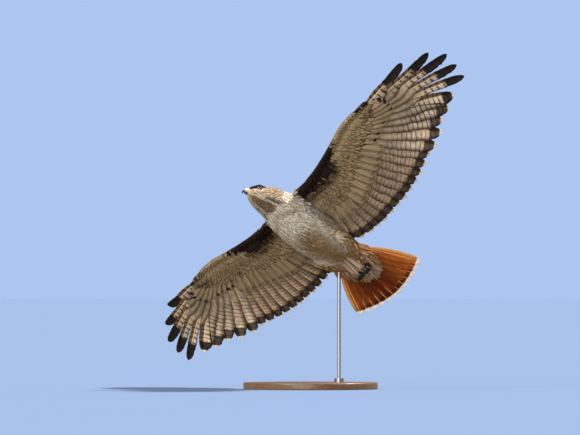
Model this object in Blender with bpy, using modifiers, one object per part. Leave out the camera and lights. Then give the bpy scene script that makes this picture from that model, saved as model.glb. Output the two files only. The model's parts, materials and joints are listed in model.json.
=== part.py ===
"""Red-tailed hawk, soaring, life size, on a plain display stand.

The bird is modelled level in its own frame: x forward, y to its left, z to its back, with the
origin between the shoulders. One empty gives it the climb, bank and heading of the pose. The
world origin is the centre of the stand base's underside, +Z up, metres.
"""
import math

import bmesh
import bpy
import numpy as np
from mathutils import Euler, Matrix, Vector

# Gap between pieces that touch
GAP = 0.0003

# Pose of the bird on its stand
HEADING = math.radians(-156.45)
CLIMB = math.radians(31.2)
BANK = math.radians(48.0)
SHOULDER_HEIGHT = 0.495
SHOULDER_OFFSET = (-0.083, -0.030)

# Stand
BASE_RADIUS = 0.180
BASE_HEIGHT = 0.018
BASE_BEVEL = 0.003
ROD_RADIUS = 0.0045
ROD_PLACE = (0.0765, 0.036)
COLLAR_RADIUS = 0.013
COLLAR_HEIGHT = 0.010

# Body outline from the chin to the tail coverts: x, centre y and z, half width, height above, below
BODY_STATIONS = (
    (0.1040, -0.0042, -0.0380, 0.0045, 0.0040, 0.0040),
    (0.0980, -0.0030, -0.0370, 0.0110, 0.0080, 0.0100),
    (0.0850, -0.0010, -0.0345, 0.0215, 0.0150, 0.0190),
    (0.0720, 0.0010, -0.0315, 0.0300, 0.0220, 0.0255),
    (0.0580, 0.0035, -0.0285, 0.0375, 0.0275, 0.0315),
    (0.0450, 0.0045, -0.0270, 0.0420, 0.0300, 0.0360),
    (0.0300, 0.0045, -0.0265, 0.0460, 0.0320, 0.0400),
    (0.0130, 0.0040, -0.0265, 0.0520, 0.0350, 0.0445),
    (-0.0120, 0.0015, -0.0280, 0.0580, 0.0390, 0.0500),
    (-0.0470, 0.0000, -0.0300, 0.0625, 0.0430, 0.0550),
    (-0.0900, 0.0000, -0.0310, 0.0665, 0.0455, 0.0585),
    (-0.1350, 0.0000, -0.0300, 0.0660, 0.0445, 0.0580),
    (-0.1800, 0.0000, -0.0275, 0.0590, 0.0400, 0.0500),
    (-0.2150, 0.0000, -0.0250, 0.0520, 0.0335, 0.0390),
    (-0.2450, 0.0000, -0.0225, 0.0480, 0.0250, 0.0280),
    (-0.2750, 0.0000, -0.0205, 0.0390, 0.0160, 0.0180),
    (-0.3050, 0.0000, -0.0195, 0.0270, 0.0085, 0.0100),
    (-0.3250, 0.0000, -0.0190, 0.0170, 0.0035, 0.0045),
)
CHIN = 0.1040
NECK_FRONT = 0.0450
TORSO_FRONT = 0.0080
TAIL_FRONT = -0.2250
TAIL_COVERT_END = -0.3250
BODY_SIDES = 24

# Head: place between the eyes, turn to the right, tip down and lean to the left
HEAD_PLACE = (0.0864, 0.0002, -0.0235)
HEAD_YAW = math.radians(-13.0)
HEAD_PITCH = math.radians(11.0)
HEAD_ROLL = math.radians(-12.0)
# Skull outline in the head's own frame: x, half width, top, bottom
SKULL_LEVEL = -0.0040
SKULL_STATIONS = (
    (0.0165, 0.0088, 0.0048, -0.0150),
    (0.0140, 0.0112, 0.0087, -0.0162),
    (0.0080, 0.0160, 0.0138, -0.0176),
    (0.0000, 0.0200, 0.0178, -0.0215),
    (-0.0090, 0.0234, 0.0192, -0.0255),
    (-0.0190, 0.0252, 0.0184, -0.0280),
    (-0.0280, 0.0240, 0.0160, -0.0270),
    (-0.0350, 0.0190, 0.0110, -0.0220),
)
EYE_BACK = -0.0090
EYE_OUT = 0.0163
EYE_RADIUS = 0.0090
LID_RADIUS = 0.0063
LID_THICKNESS = 0.0010
LID_AXIS = (0.36, 0.93, 0.06)
LID_OUT = 0.0063
# Brow over the left eye in the head's frame: x, y, z, radius
BROW_PATH = (
    (0.0045, 0.0156, 0.0052, 0.0013),
    (-0.0010, 0.0186, 0.0074, 0.0025),
    (-0.0080, 0.0214, 0.0086, 0.0029),
    (-0.0145, 0.0226, 0.0078, 0.0024),
    (-0.0195, 0.0226, 0.0058, 0.0012),
)
MOUTH_Z = -0.0100
MOUTH_BACK = 0.0005
MOUTH_DEPTH = 0.0150
MOUTH_SLIT = 0.0007
# Bill in the head's frame: top x and z, lower x and z, half width
BILL_BASE = 0.0168
UPPER_BILL = (
    (0.0168, 0.0032, 0.0168, -0.0098, 0.0080),
    (0.0213, 0.0032, 0.0210, -0.0098, 0.0072),
    (0.0263, 0.0018, 0.0255, -0.0097, 0.0062),
    (0.0310, -0.0018, 0.0290, -0.0100, 0.0049),
    (0.0346, -0.0070, 0.0314, -0.0114, 0.0036),
    (0.0366, -0.0130, 0.0336, -0.0140, 0.0023),
    (0.0362, -0.0205, 0.0352, -0.0192, 0.0006),
)
LOWER_BILL = (
    (0.0168, -0.0102, 0.0168, -0.0142, 0.0060),
    (0.0220, -0.0102, 0.0220, -0.0139, 0.0052),
    (0.0265, -0.0102, 0.0268, -0.0131, 0.0040),
    (0.0288, -0.0108, 0.0292, -0.0122, 0.0015),
)
NOSTRIL = (0.0218, 0.0068, -0.0012)
NOSTRIL_RADIUS = 0.0014

# Wing: a is the distance out from the midline
DIHEDRAL = 0.143
SHOULDER_OUT = 0.067
WING_ROOT = 0.030
ELBOW_OUT = 0.144
WRIST_OUT = 0.269
HAND_END = 0.377
ELBOW_SLANT = -0.114
WRIST_SLANT = 0.579
ELBOW_BACK = -0.080
WRIST_BACK = -0.035
LEADING_EDGE = ((0.020, 0.000), (0.067, -0.001), (0.115, -0.005), (0.175, 0.001), (0.235, 0.0125),
                (0.275, 0.0212), (0.310, 0.0223), (0.365, 0.0130), (0.400, 0.0115))
CORE_REAR = ((0.020, -0.125), (0.100, -0.112), (0.150, -0.104), (0.200, -0.086), (0.260, -0.066),
             (0.300, -0.054), (0.340, -0.045), (0.360, -0.034), (0.380, -0.016))
CORE_THICKNESS = ((0.020, 0.034), (0.067, 0.026), (0.120, 0.019), (0.200, 0.015), (0.300, 0.012),
                  (0.360, 0.0085), (0.380, 0.0070))
CORE_PROFILE = ((0.0, 0.0), (0.05, 0.52), (0.22, 1.0), (0.60, 0.92), (1.0, 0.60))

# Vanes
VANE_THICKNESS = 0.00055
VANE_TILT = math.tan(math.radians(6.0))
FINGER_TILT = math.tan(math.radians(9.0))
COVERT_RISE = 0.0027
COVERT_SPREAD = 0.020

# Primaries, innermost first: root to tip, angle back from straight out, lift of the tip
PRIMARY_LENGTH = (0.220, 0.226, 0.224, 0.240, 0.252, 0.284, 0.277, 0.264, 0.220, 0.149)
PRIMARY_SWEEP = (57.0, 49.5, 42.0, 36.0, 30.7, 25.0, 20.3, 15.6, 11.3, 4.2)
PRIMARY_LIFT = (-0.013, -0.014, -0.016, -0.018, -0.018, -0.014, 0.000, 0.021, 0.038, 0.032)
PRIMARY_ROOTS = ((0.276, -0.036), (0.338, -0.030), (0.357, 0.001))
LAST_INNER_PRIMARY = 5
LIFT_POWER = 3.5

# Secondaries and the feathers inside the elbow
SECONDARIES = 9
SECONDARY_ROOTS = ((0.262, -0.036), (0.151, -0.086))
INNER_FEATHERS = 5
INNER_ROOTS = ((0.137, -0.088), (0.086, -0.084))
TIP_OUT = 0.361
TIP_STEP = 0.0275
TRAILING_EDGE = -0.257
TRAILING_RISE_OUT = 1.35
TRAILING_RISE_IN = 3.6
SECONDARY_LIFT = -0.006
INNER_LIFT = 0.004
ALULA_FEATHERS = 3

# Tail
RECTRICES = 12
TAIL_ROOT = (-0.212, -0.020)
TAIL_ROOT_HALF = 0.020
TAIL_LENGTH = 0.212
TAIL_TURN = math.radians(-4.5)
TAIL_HALF_FAN = math.radians(28.5)
TAIL_BULGE = 0.020
TAIL_START = 0.20
MIDDLE_LAP = 0.0022
MIDDLE_RISE = 0.0016

# Legs: points along the left thigh as x, y, z, radius
THIGH_PATH = (
    (-0.1300, 0.0340, -0.0440, 0.0120),
    (-0.1450, 0.0360, -0.0450, 0.0205),
    (-0.1700, 0.0385, -0.0460, 0.0250),
    (-0.2000, 0.0370, -0.0465, 0.0245),
    (-0.2300, 0.0300, -0.0465, 0.0190),
    (-0.2500, 0.0230, -0.0470, 0.0130),
    (-0.2640, 0.0180, -0.0480, 0.0075),
)
TARSUS_RADIUS = 0.0044
FIST_CENTRE = (-0.2860, 0.0150, -0.0560)
TOE_RADIUS = 0.0031
TOE_CURL = 0.0095
TOE_SPACING = 0.0086
TOE_END = 285.0
HALLUX_END = 18.0
CLAW_LENGTH = 52.0
CLAW_RADIUS = 0.0022


def clear_scene():
    """Remove every object of the open scene."""
    for old in list(bpy.data.objects):
        bpy.data.objects.remove(old, do_unlink=True)


def new_collection(name):
    """A collection under the scene's own."""
    made = bpy.data.collections.new(name)
    bpy.context.scene.collection.children.link(made)
    return made


def material(name, colour, roughness, metallic=0.0):
    """A plain Principled material."""
    made = bpy.data.materials.new(name)
    made.use_nodes = True
    shader = made.node_tree.nodes["Principled BSDF"]
    shader.inputs["Base Color"].default_value = (*colour, 1.0)
    shader.inputs["Roughness"].default_value = roughness
    shader.inputs["Metallic"].default_value = metallic
    made.diffuse_color = (*colour, 1.0)
    return made


def curve(at, knots, column=1):
    """Smooth interpolation through knots whose first column rises or falls."""
    table = np.array(sorted(knots))
    xs = table[:, 0]
    ys = table[:, column]
    slope = np.gradient(ys, xs)
    at = np.clip(at, xs[0], xs[-1])
    k = np.clip(np.searchsorted(xs, at) - 1, 0, len(xs) - 2)
    h = xs[k + 1] - xs[k]
    t = (at - xs[k]) / h
    return ((2 * t**3 - 3 * t**2 + 1) * ys[k] + (t**3 - 2 * t**2 + t) * h * slope[k]
            + (3 * t**2 - 2 * t**3) * ys[k + 1] + (t**3 - t**2) * h * slope[k + 1])


def mesh_object(name, points, faces, collection):
    """An object from points and faces, with all faces turned outward."""
    mesh = bpy.data.meshes.new(name)
    mesh.from_pydata([tuple(p) for p in points], [], faces)
    work = bmesh.new()
    work.from_mesh(mesh)
    bmesh.ops.recalc_face_normals(work, faces=work.faces)
    work.to_mesh(mesh)
    work.free()
    made = bpy.data.objects.new(name, mesh)
    collection.objects.link(made)
    return made


def loft(name, rings, collection):
    """A closed tube through rings of equally many points, with flat ends."""
    count = len(rings[0])
    points = np.concatenate(rings)
    faces = []
    for r in range(len(rings) - 1):
        for i in range(count):
            j = (i + 1) % count
            faces.append((r * count + i, r * count + j, (r + 1) * count + j, (r + 1) * count + i))
    faces.append(tuple(range(count)))
    faces.append(tuple((len(rings) - 1) * count + i for i in range(count)))
    return mesh_object(name, points, faces, collection)


def baked(obj):
    """Replace an object's mesh by its evaluated, triangulated one and drop its modifiers."""
    depsgraph = bpy.context.evaluated_depsgraph_get()
    mesh = bpy.data.meshes.new_from_object(obj.evaluated_get(depsgraph))
    work = bmesh.new()
    work.from_mesh(mesh)
    bmesh.ops.triangulate(work, faces=work.faces)
    work.to_mesh(mesh)
    work.free()
    obj.modifiers.clear()
    old = obj.data
    obj.data = mesh
    bpy.data.meshes.remove(old)
    return obj


def largest_surface(obj):
    """Keep only the connected surface that encloses the most volume."""
    work = bmesh.new()
    work.from_mesh(obj.data)
    work.verts.ensure_lookup_table()
    unseen = set(work.verts)
    shells = []
    while unseen:
        stack = [unseen.pop()]
        shell = set(stack)
        while stack:
            for edge in stack.pop().link_edges:
                for vert in edge.verts:
                    if vert in unseen:
                        unseen.discard(vert)
                        shell.add(vert)
                        stack.append(vert)
        faces = {face for vert in shell for face in vert.link_faces}
        volume = sum(f.verts[0].co.dot(f.verts[1].co.cross(f.verts[2].co)) for f in faces)
        shells.append((volume, shell))
    shells.sort(key=lambda pair: pair[0])
    for volume, shell in shells[:-1]:
        bmesh.ops.delete(work, geom=list(shell), context='VERTS')
    work.to_mesh(obj.data)
    work.free()
    return obj


def fuse(target, pieces, operation='UNION'):
    """Join pieces to the target, or cut them out of it, in one Boolean on a collection."""
    if not pieces:
        return target
    bag = bpy.data.collections.new(target.name + "_pieces")
    bpy.context.scene.collection.children.link(bag)
    for piece in pieces:
        for home in list(piece.users_collection):
            home.objects.unlink(piece)
        bag.objects.link(piece)
        piece.hide_render = True
        piece.display_type = 'WIRE'
    step = target.modifiers.new("fuse", 'BOOLEAN')
    step.operand_type = 'COLLECTION'
    step.operation = operation
    step.solver = 'EXACT'
    step.collection = bag
    bpy.context.view_layer.update()
    baked(target)
    for piece in pieces:
        bpy.data.objects.remove(piece, do_unlink=True)
    bpy.data.collections.remove(bag)
    return largest_surface(target)


def body_ring(x, grow=0.0):
    """Outline of the body across its length at x."""
    middle = curve(x, BODY_STATIONS, 1)
    level = curve(x, BODY_STATIONS, 2)
    half = curve(x, BODY_STATIONS, 3) + grow
    above = curve(x, BODY_STATIONS, 4) + grow
    below = curve(x, BODY_STATIONS, 5) + grow
    angle = np.linspace(0.0, 2.0 * math.pi, BODY_SIDES, endpoint=False)
    height = np.where(np.sin(angle) > 0.0, above, below)
    return np.stack([np.full(BODY_SIDES, x), middle + half * np.cos(angle),
                     level + height * np.sin(angle)], axis=1)


def body_length(name, front, back, rings, collection, grow=0.0):
    """The length of the body between two planes."""
    return loft(name, [body_ring(x, grow) for x in np.linspace(front, back, rings)], collection)


def bead(name, path, collection, sides=12):
    """A closed round form through points that carry their own radius."""
    path = np.array(path)
    centres = path[:, :3]
    along = np.gradient(centres, axis=0, edge_order=2)
    along /= np.linalg.norm(along, axis=1)[:, None]
    across = np.cross(along, (0.0, 1.0, 0.0))
    across /= np.linalg.norm(across, axis=1)[:, None]
    third = np.cross(along, across)
    rings = []
    for centre, radius, first, second in zip(centres, path[:, 3], across, third):
        angle = np.linspace(0.0, 2.0 * math.pi, sides, endpoint=False)[:, None]
        rings.append(centre + radius * (first * np.cos(angle) + second * np.sin(angle)))
    return loft(name, rings, collection)


def mirrored(points, side):
    """Points of the left side, or their mirror image for the right."""
    return np.array(points) * np.array([1.0, side, 1.0])


def wing_height(out):
    """Height of the wing's middle surface at a distance out from the midline."""
    return DIHEDRAL * (out - SHOULDER_OUT)


def core_ring(out, slant, back, side):
    """Section of the wing's fleshy part on a plane that slants back and outward."""
    front = curve(out, LEADING_EDGE)
    out_front = out - slant * (front - back)
    front = curve(out_front, LEADING_EDGE)
    rear = curve(out, CORE_REAR)
    profile = np.array(CORE_PROFILE + CORE_PROFILE[:0:-1])
    sign = np.where(np.arange(len(profile)) < len(CORE_PROFILE), 1.0, -1.0)
    x = front + (rear - front) * profile[:, 0]
    a = out - slant * (x - back)
    half = 0.5 * curve(a, CORE_THICKNESS) * profile[:, 1]
    z = wing_height(a) + sign * half - 0.003 * (1.0 - profile[:, 0])
    return mirrored(np.stack([x, a, z], axis=1), side)


def wing_core(name, side, stations, collection):
    """The fleshy part of the wing through stations of distance, slant and pivot."""
    rings = [core_ring(out, slant, back, side) for out, slant, back in stations]
    return loft(name, rings, collection)


def vane(name, root, tip, lift, widths, tilt, side, bow=0.0, rise=0.0, spread=0.0, power=2.0, start=0.0):
    """One feather: a strip from root to tip whose inner edge lies lower than its outer edge.

    root and tip are (out, x) in the wing plane, widths rows of (place, outer, inner), and bow
    pushes the middle of the shaft outward by a part of its length.
    """
    root = np.array(root)
    tip = np.array(tip)
    rows = np.array(widths)
    place = start + (1.0 - start) * rows[:, 0]
    span = tip - root
    length = np.linalg.norm(span)
    ahead = span / length
    outward = np.array([-ahead[1], ahead[0]])
    shaft = root + span * place[:, None] + outward * (bow * length * np.sin(math.pi * place))[:, None]
    height = lift * place**power + rise + math.copysign(spread, rise) * place * length
    outer = shaft + outward * rows[:, 1][:, None]
    inner = shaft - outward * rows[:, 2][:, None]
    points = []
    for a, x, z in zip(outer[:, 0], outer[:, 1], height + tilt * rows[:, 1]):
        points.append((x, a, wing_height(a) + z))
    for a, x, z in zip(inner[:, 0], inner[:, 1], height - tilt * rows[:, 2]):
        points.append((x, a, wing_height(a) + z))
    return vane_object(name, mirrored(points, side), len(rows))


def vane_object(name, points, rows):
    """A closed strip from the points of its outer and then its inner edge."""
    faces = []
    for i in range(rows - 1):
        faces.append((i, i + 1, rows + i))
        faces.append((i + 1, rows + i + 1, rows + i))
    mesh = bpy.data.meshes.new(name)
    mesh.from_pydata([tuple(p) for p in points], [], faces)
    made = bpy.data.objects.new(name, mesh)
    bpy.context.scene.collection.objects.link(made)
    shell = made.modifiers.new("thickness", 'SOLIDIFY')
    shell.thickness = VANE_THICKNESS
    shell.offset = 0.0
    return baked(made)


def broad_vane(outer, inner):
    """Widths of a feather with a rounded tip."""
    return ((0.0, 0.0022, 0.0022), (0.20, 0.6 * outer, 0.7 * inner), (0.45, outer, inner),
            (0.75, outer, inner), (0.91, 0.85 * outer, 0.88 * inner), (1.0, 0.30 * outer, 0.40 * inner))


def finger_vane(outer, inner, notch):
    """Widths of a primary that narrows to a finger past its notch."""
    return ((0.0, 0.0022, 0.0022), (0.18, 0.7 * outer, 0.7 * inner), (notch - 0.16, outer, inner),
            (notch, 0.85 * outer, 0.56 * inner), (0.88, 0.85 * outer, 0.52 * inner),
            (0.96, 0.60 * outer, 0.37 * inner), (1.0, 0.18 * outer, 0.12 * inner))


def covert_vane(outer, inner):
    """Widths of a short covert feather."""
    return ((0.0, 0.0022, 0.0022), (0.45, outer, inner), (0.85, 0.85 * outer, 0.85 * inner),
            (1.0, 0.30 * outer, 0.35 * inner))


def between(ends, count, index):
    """A point on a line of roots."""
    t = index / (count - 1)
    first = np.array(ends[0])
    return first + (np.array(ends[1]) - first) * t


def primary_root(index):
    """Where a primary springs from the hand."""
    if index <= LAST_INNER_PRIMARY:
        return between(PRIMARY_ROOTS[:2], LAST_INNER_PRIMARY + 1, index)
    outer = len(PRIMARY_LENGTH) - LAST_INNER_PRIMARY
    return between(PRIMARY_ROOTS[1:], outer, index - LAST_INNER_PRIMARY)


def primary_tip(index):
    """Where a primary ends."""
    sweep = math.radians(PRIMARY_SWEEP[index])
    reach = PRIMARY_LENGTH[index]
    return primary_root(index) + reach * np.array([math.cos(sweep), -math.sin(sweep)])


def primary_widths(index):
    """Widths of a primary: the outer five are fingers."""
    if index >= LAST_INNER_PRIMARY:
        return finger_vane(0.0105, 0.0230, 0.56)
    return broad_vane(0.0130, 0.0300)


def trailing_tip(number):
    """Where a secondary ends on the trailing edge, counted from the wrist."""
    out = TIP_OUT - TIP_STEP * number
    x = (TRAILING_EDGE + TRAILING_RISE_OUT * max(0.0, out - 0.21)**2
         + TRAILING_RISE_IN * max(0.0, 0.12 - out)**2)
    return np.array([out, x])


def covert_pair(name, root, tip, length, widths, lift, side):
    """The greater covert above and the one below a flight feather."""
    root = np.array(root)
    ahead = (np.array(tip) - root) / np.linalg.norm(np.array(tip) - root)
    end = root + ahead * length
    part = (length / np.linalg.norm(np.array(tip) - root))**2
    upper = vane(name + "_upper", root, end, lift * part, widths, VANE_TILT, side, rise=COVERT_RISE,
                 spread=COVERT_SPREAD)
    lower = vane(name + "_lower", root, root + ahead * length * 1.15, lift * part, widths, VANE_TILT,
                 side, rise=-COVERT_RISE, spread=COVERT_SPREAD)
    return [upper, lower]


def hand_feathers(side):
    """Primaries, their coverts and the alula of one wing."""
    pieces = []
    for i in range(len(PRIMARY_LENGTH)):
        root = primary_root(i)
        tip = primary_tip(i)
        finger = i >= LAST_INNER_PRIMARY
        pieces.append(vane("primary", root, tip, PRIMARY_LIFT[i], primary_widths(i),
                           FINGER_TILT if finger else VANE_TILT, side, bow=0.02, power=LIFT_POWER))
        if i < len(PRIMARY_LENGTH) - 1:
            reach = 0.010 + 0.23 * PRIMARY_LENGTH[i]
            pieces += covert_pair("covert", root, tip, reach, covert_vane(0.007, 0.013), 0.0, side)
    for i in range(ALULA_FEATHERS):
        root = np.array([0.300 - 0.004 * i, 0.008])
        tip = np.array([0.372 - 0.014 * i, 0.007 - 0.005 * i])
        pieces.append(vane("alula", root, tip, 0.0, covert_vane(0.003, 0.010), VANE_TILT, side,
                           rise=0.0052 + 0.0012 * i, spread=0.030))
    return pieces


def forearm_feathers(side):
    """Secondaries and their greater coverts."""
    pieces = []
    for i in range(SECONDARIES):
        root = between(SECONDARY_ROOTS, SECONDARIES, i)
        tip = trailing_tip(i)
        pieces.append(vane("secondary", root, tip, SECONDARY_LIFT, broad_vane(0.0110, 0.0240),
                           VANE_TILT, side, bow=0.02))
        pieces += covert_pair("covert", root, tip, 0.088, covert_vane(0.0085, 0.0150),
                              SECONDARY_LIFT, side)
    return pieces


def arm_feathers(side):
    """The innermost secondaries and the feathers that close the wing against the back."""
    pieces = []
    for i in range(INNER_FEATHERS):
        root = between(INNER_ROOTS, INNER_FEATHERS, i)
        tip = trailing_tip(SECONDARIES + min(i, 3))
        if i > 3:
            tip = tip + np.array([-0.016, 0.030])
        pieces.append(vane("inner", root, tip, INNER_LIFT, broad_vane(0.0110, 0.0240), VANE_TILT, side))
        if i < INNER_FEATHERS - 1:
            pieces += covert_pair("covert", root, tip, 0.075, covert_vane(0.0085, 0.0150),
                                  INNER_LIFT, side)
    return pieces


def half_space(name, out, slant, back, side, keep_outer):
    """A big box that covers the wing on one side of a slanted upright plane."""
    reach = 1.2
    gap = 0.5 * GAP if keep_outer else -0.5 * GAP
    far = -reach if keep_outer else reach
    points = []
    for z in (-0.5, 0.5):
        for x in (-0.6, 0.3):
            edge = out - slant * (x - back) + gap
            points.append((x, edge, z))
            points.append((x, edge + far, z))
    faces = [(0, 1, 3, 2), (4, 5, 7, 6), (0, 1, 5, 4), (2, 3, 7, 6), (0, 2, 6, 4), (1, 3, 7, 5)]
    return mesh_object(name, mirrored(points, side), faces, bpy.context.scene.collection)


def wing_nodes(side, label, collection, skins):
    """The three lengths of one wing."""
    arm_stations = [(out, 0.0, ELBOW_BACK) for out in (WING_ROOT, 0.050, 0.075, 0.105)]
    arm_stations.append((ELBOW_OUT + 0.010, ELBOW_SLANT, ELBOW_BACK))
    forearm_stations = [(ELBOW_OUT - 0.006, ELBOW_SLANT, ELBOW_BACK), (0.185, 0.25, ELBOW_BACK),
                        (0.225, 0.40, WRIST_BACK), (WRIST_OUT + 0.004, WRIST_SLANT, WRIST_BACK)]
    hand_stations = [(WRIST_OUT - 0.004, WRIST_SLANT, WRIST_BACK), (0.298, 0.35, WRIST_BACK),
                     (0.330, 0.12, WRIST_BACK), (0.358, 0.0, WRIST_BACK), (HAND_END, 0.0, WRIST_BACK)]
    elbow = (ELBOW_OUT, ELBOW_SLANT, ELBOW_BACK)
    wrist = (WRIST_OUT, WRIST_SLANT, WRIST_BACK)
    arm = wing_core("arm_" + label, side, arm_stations, collection)
    fuse(arm, arm_feathers(side))
    fuse(arm, [half_space("cut", *elbow, side, False)], 'DIFFERENCE')
    fuse(arm, [skins()], 'DIFFERENCE')
    forearm = wing_core("forearm_" + label, side, forearm_stations, collection)
    fuse(forearm, forearm_feathers(side))
    fuse(forearm, [half_space("cut", *elbow, side, True)], 'DIFFERENCE')
    fuse(forearm, [half_space("cut", *wrist, side, False)], 'DIFFERENCE')
    hand = wing_core("hand_" + label, side, hand_stations, collection)
    fuse(hand, hand_feathers(side))
    fuse(hand, [half_space("cut", *wrist, side, True)], 'DIFFERENCE')
    return [arm, forearm, hand]


def rectrix(index, collection):
    """One tail feather, counted from the bird's right to its left."""
    across = 2.0 * index / (RECTRICES - 1) - 1.0
    side = 1.0 if across > 0.0 else -1.0
    angle = abs(across) * TAIL_HALF_FAN
    turn = TAIL_TURN * side
    root = np.array([TAIL_ROOT_HALF * abs(across), TAIL_ROOT[0]])
    ahead = np.array([math.sin(angle + turn), -math.cos(angle + turn)])
    length = TAIL_LENGTH * (1.0 - 0.03 * abs(across))
    tip = root + ahead * length
    rows = np.array(broad_vane(0.0125, 0.0200))
    rows[0, 1:] = 0.004
    place = TAIL_START + (1.0 - TAIL_START) * rows[:, 0]
    raised = 0.0
    if abs(across) < 1.5 / (RECTRICES - 1):
        midline = root[0] + length * place * math.sin(angle)
        rows[:, 2] = np.minimum(rows[:, 2], midline + MIDDLE_LAP)
        raised = MIDDLE_RISE * max(0.0, side)
    outward = np.array([-ahead[1], ahead[0]])
    bulge = TAIL_BULGE * abs(across) * length * np.sin(math.pi * place)
    shaft = root + ahead * (length * place)[:, None] + outward * bulge[:, None]
    outer = shaft + outward * rows[:, 1][:, None]
    inner_edge = shaft - outward * rows[:, 2][:, None]
    points = []
    for edge, shift in ((outer, rows[:, 1]), (inner_edge, -rows[:, 2])):
        for (a, x), rise in zip(edge, VANE_TILT * shift):
            points.append((x, a, TAIL_ROOT[1] + raised + rise))
    return vane_object("rectrix", mirrored(points, side), len(rows))


def thigh_path(side, grow=0.0):
    """Points and radii along one feathered thigh."""
    path = np.array(THIGH_PATH)
    path[:, 1] *= side
    path[:, 3] += grow
    if grow:
        path[0, 0] += grow
        path[-1, 0] -= grow
    return path


def thigh_cutters(grow):
    """Slightly larger copies of both thighs."""
    return [bead("cut", thigh_path(side, grow), bpy.context.scene.collection) for side in (1.0, -1.0)]


def ball(name, radius, centre, collection, segments=16, rings=10):
    """A sphere."""
    mesh = bpy.data.meshes.new(name)
    work = bmesh.new()
    bmesh.ops.create_uvsphere(work, u_segments=segments, v_segments=rings, radius=radius)
    bmesh.ops.translate(work, verts=work.verts, vec=Vector(centre))
    work.to_mesh(mesh)
    work.free()
    made = bpy.data.objects.new(name, mesh)
    collection.objects.link(made)
    return made


def head_matrix():
    """Place and turn of the head in the bird's frame."""
    turn = Euler((HEAD_ROLL, HEAD_PITCH, HEAD_YAW), 'XYZ')
    return Matrix.Translation(HEAD_PLACE) @ turn.to_matrix().to_4x4()


def skull_ring(x):
    """Outline of the skull across its length, in the head's frame."""
    half = curve(x, SKULL_STATIONS, 1)
    above = curve(x, SKULL_STATIONS, 2) - SKULL_LEVEL
    below = SKULL_LEVEL - curve(x, SKULL_STATIONS, 3)
    angle = np.linspace(0.0, 2.0 * math.pi, BODY_SIDES, endpoint=False)
    height = np.where(np.sin(angle) > 0.0, above, below)
    return np.stack([np.full(BODY_SIDES, x), half * np.cos(angle),
                     SKULL_LEVEL + height * np.sin(angle)], axis=1)


def lid_ring(side):
    """The rim of lids round one eye, in the head's frame."""
    axis = Vector((LID_AXIS[0], LID_AXIS[1] * side, LID_AXIS[2])).normalized()
    centre = Vector((EYE_BACK, EYE_OUT * side, 0.0)) + axis * LID_OUT
    first = axis.orthogonal().normalized()
    second = axis.cross(first)
    spokes = 18
    sides = 6
    points = []
    for turn in np.linspace(0.0, 2.0 * math.pi, spokes, endpoint=False):
        spoke = first * math.cos(turn) + second * math.sin(turn)
        for tube in np.linspace(0.0, 2.0 * math.pi, sides, endpoint=False):
            points.append(centre + spoke * (LID_RADIUS + LID_THICKNESS * math.cos(tube))
                          + axis * (LID_THICKNESS * math.sin(tube)))
    faces = []
    for r in range(spokes):
        s = (r + 1) % spokes
        for i in range(sides):
            j = (i + 1) % sides
            faces.append((r * sides + i, r * sides + j, s * sides + j, s * sides + i))
    return mesh_object("lid", points, faces, bpy.context.scene.collection)


def brow(side):
    """The bony ridge that shades one eye, in the head's frame."""
    path = [(x, y * side, z, radius) for x, y, z, radius in BROW_PATH]
    return bead("brow", path, bpy.context.scene.collection, sides=8)


def turned(obj):
    """Move an object's mesh from the head's frame to the bird's."""
    obj.data.transform(head_matrix())
    return obj


def box(name, low, high):
    """An upright box between two corners."""
    mesh = bpy.data.meshes.new(name)
    work = bmesh.new()
    bmesh.ops.create_cube(work, size=1.0)
    middle = 0.5 * (Vector(low) + Vector(high))
    size = Vector(high) - Vector(low)
    for vert in work.verts:
        vert.co = middle + Vector(v * s for v, s in zip(vert.co, size))
    work.to_mesh(mesh)
    work.free()
    made = bpy.data.objects.new(name, mesh)
    bpy.context.scene.collection.objects.link(made)
    return made


def head_node(collection):
    """Skull with brows and lids, throat, eye sockets and the line of the mouth."""
    places = np.concatenate([np.linspace(SKULL_STATIONS[0][0], -0.006, 9),
                             np.linspace(-0.012, SKULL_STATIONS[-1][0], 4)])
    head = turned(loft("head", [skull_ring(x) for x in places], collection))
    features = [turned(piece) for piece in (brow(1.0), brow(-1.0), lid_ring(1.0), lid_ring(-1.0))]
    throat = body_length("throat", CHIN, NECK_FRONT - 0.004, 6, collection)
    fuse(head, features + [throat])
    sockets = [turned(ball("cut", EYE_RADIUS + GAP, (EYE_BACK, EYE_OUT * side, 0.0), collection))
               for side in (1.0, -1.0)]
    slit = turned(box("cut", (MOUTH_BACK, -MOUTH_DEPTH, MOUTH_Z - 0.5 * MOUTH_SLIT),
                      (BILL_BASE + 0.01, MOUTH_DEPTH, MOUTH_Z + 0.5 * MOUTH_SLIT)))
    front = turned(box("cut", (BILL_BASE - GAP, -0.05, -0.06), (BILL_BASE + 0.05, 0.05, 0.05)))
    back = box("cut", (-0.10, -0.20, -0.20), (NECK_FRONT + GAP, 0.20, 0.20))
    fuse(head, sockets + [slit, front, back], 'DIFFERENCE')
    return head


def eye_node(side, label, collection):
    """One eyeball."""
    return turned(ball("eye_" + label, EYE_RADIUS, (EYE_BACK, EYE_OUT * side, 0.0), collection, 14, 9))


def bill_ring(top_x, top_z, low_x, low_z, half, squareness, count=14):
    """Section of the bill between a top and a bottom point."""
    angle = np.linspace(0.0, 2.0 * math.pi, count, endpoint=False)
    up = np.cos(angle)
    across = np.sign(np.sin(angle)) * np.abs(np.sin(angle))**squareness
    x = 0.5 * (top_x + low_x) + 0.5 * (top_x - low_x) * up
    z = 0.5 * (top_z + low_z) + 0.5 * (top_z - low_z) * up
    return np.stack([x, half * across * (1.0 - 0.18 * up), z], axis=1)


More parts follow.
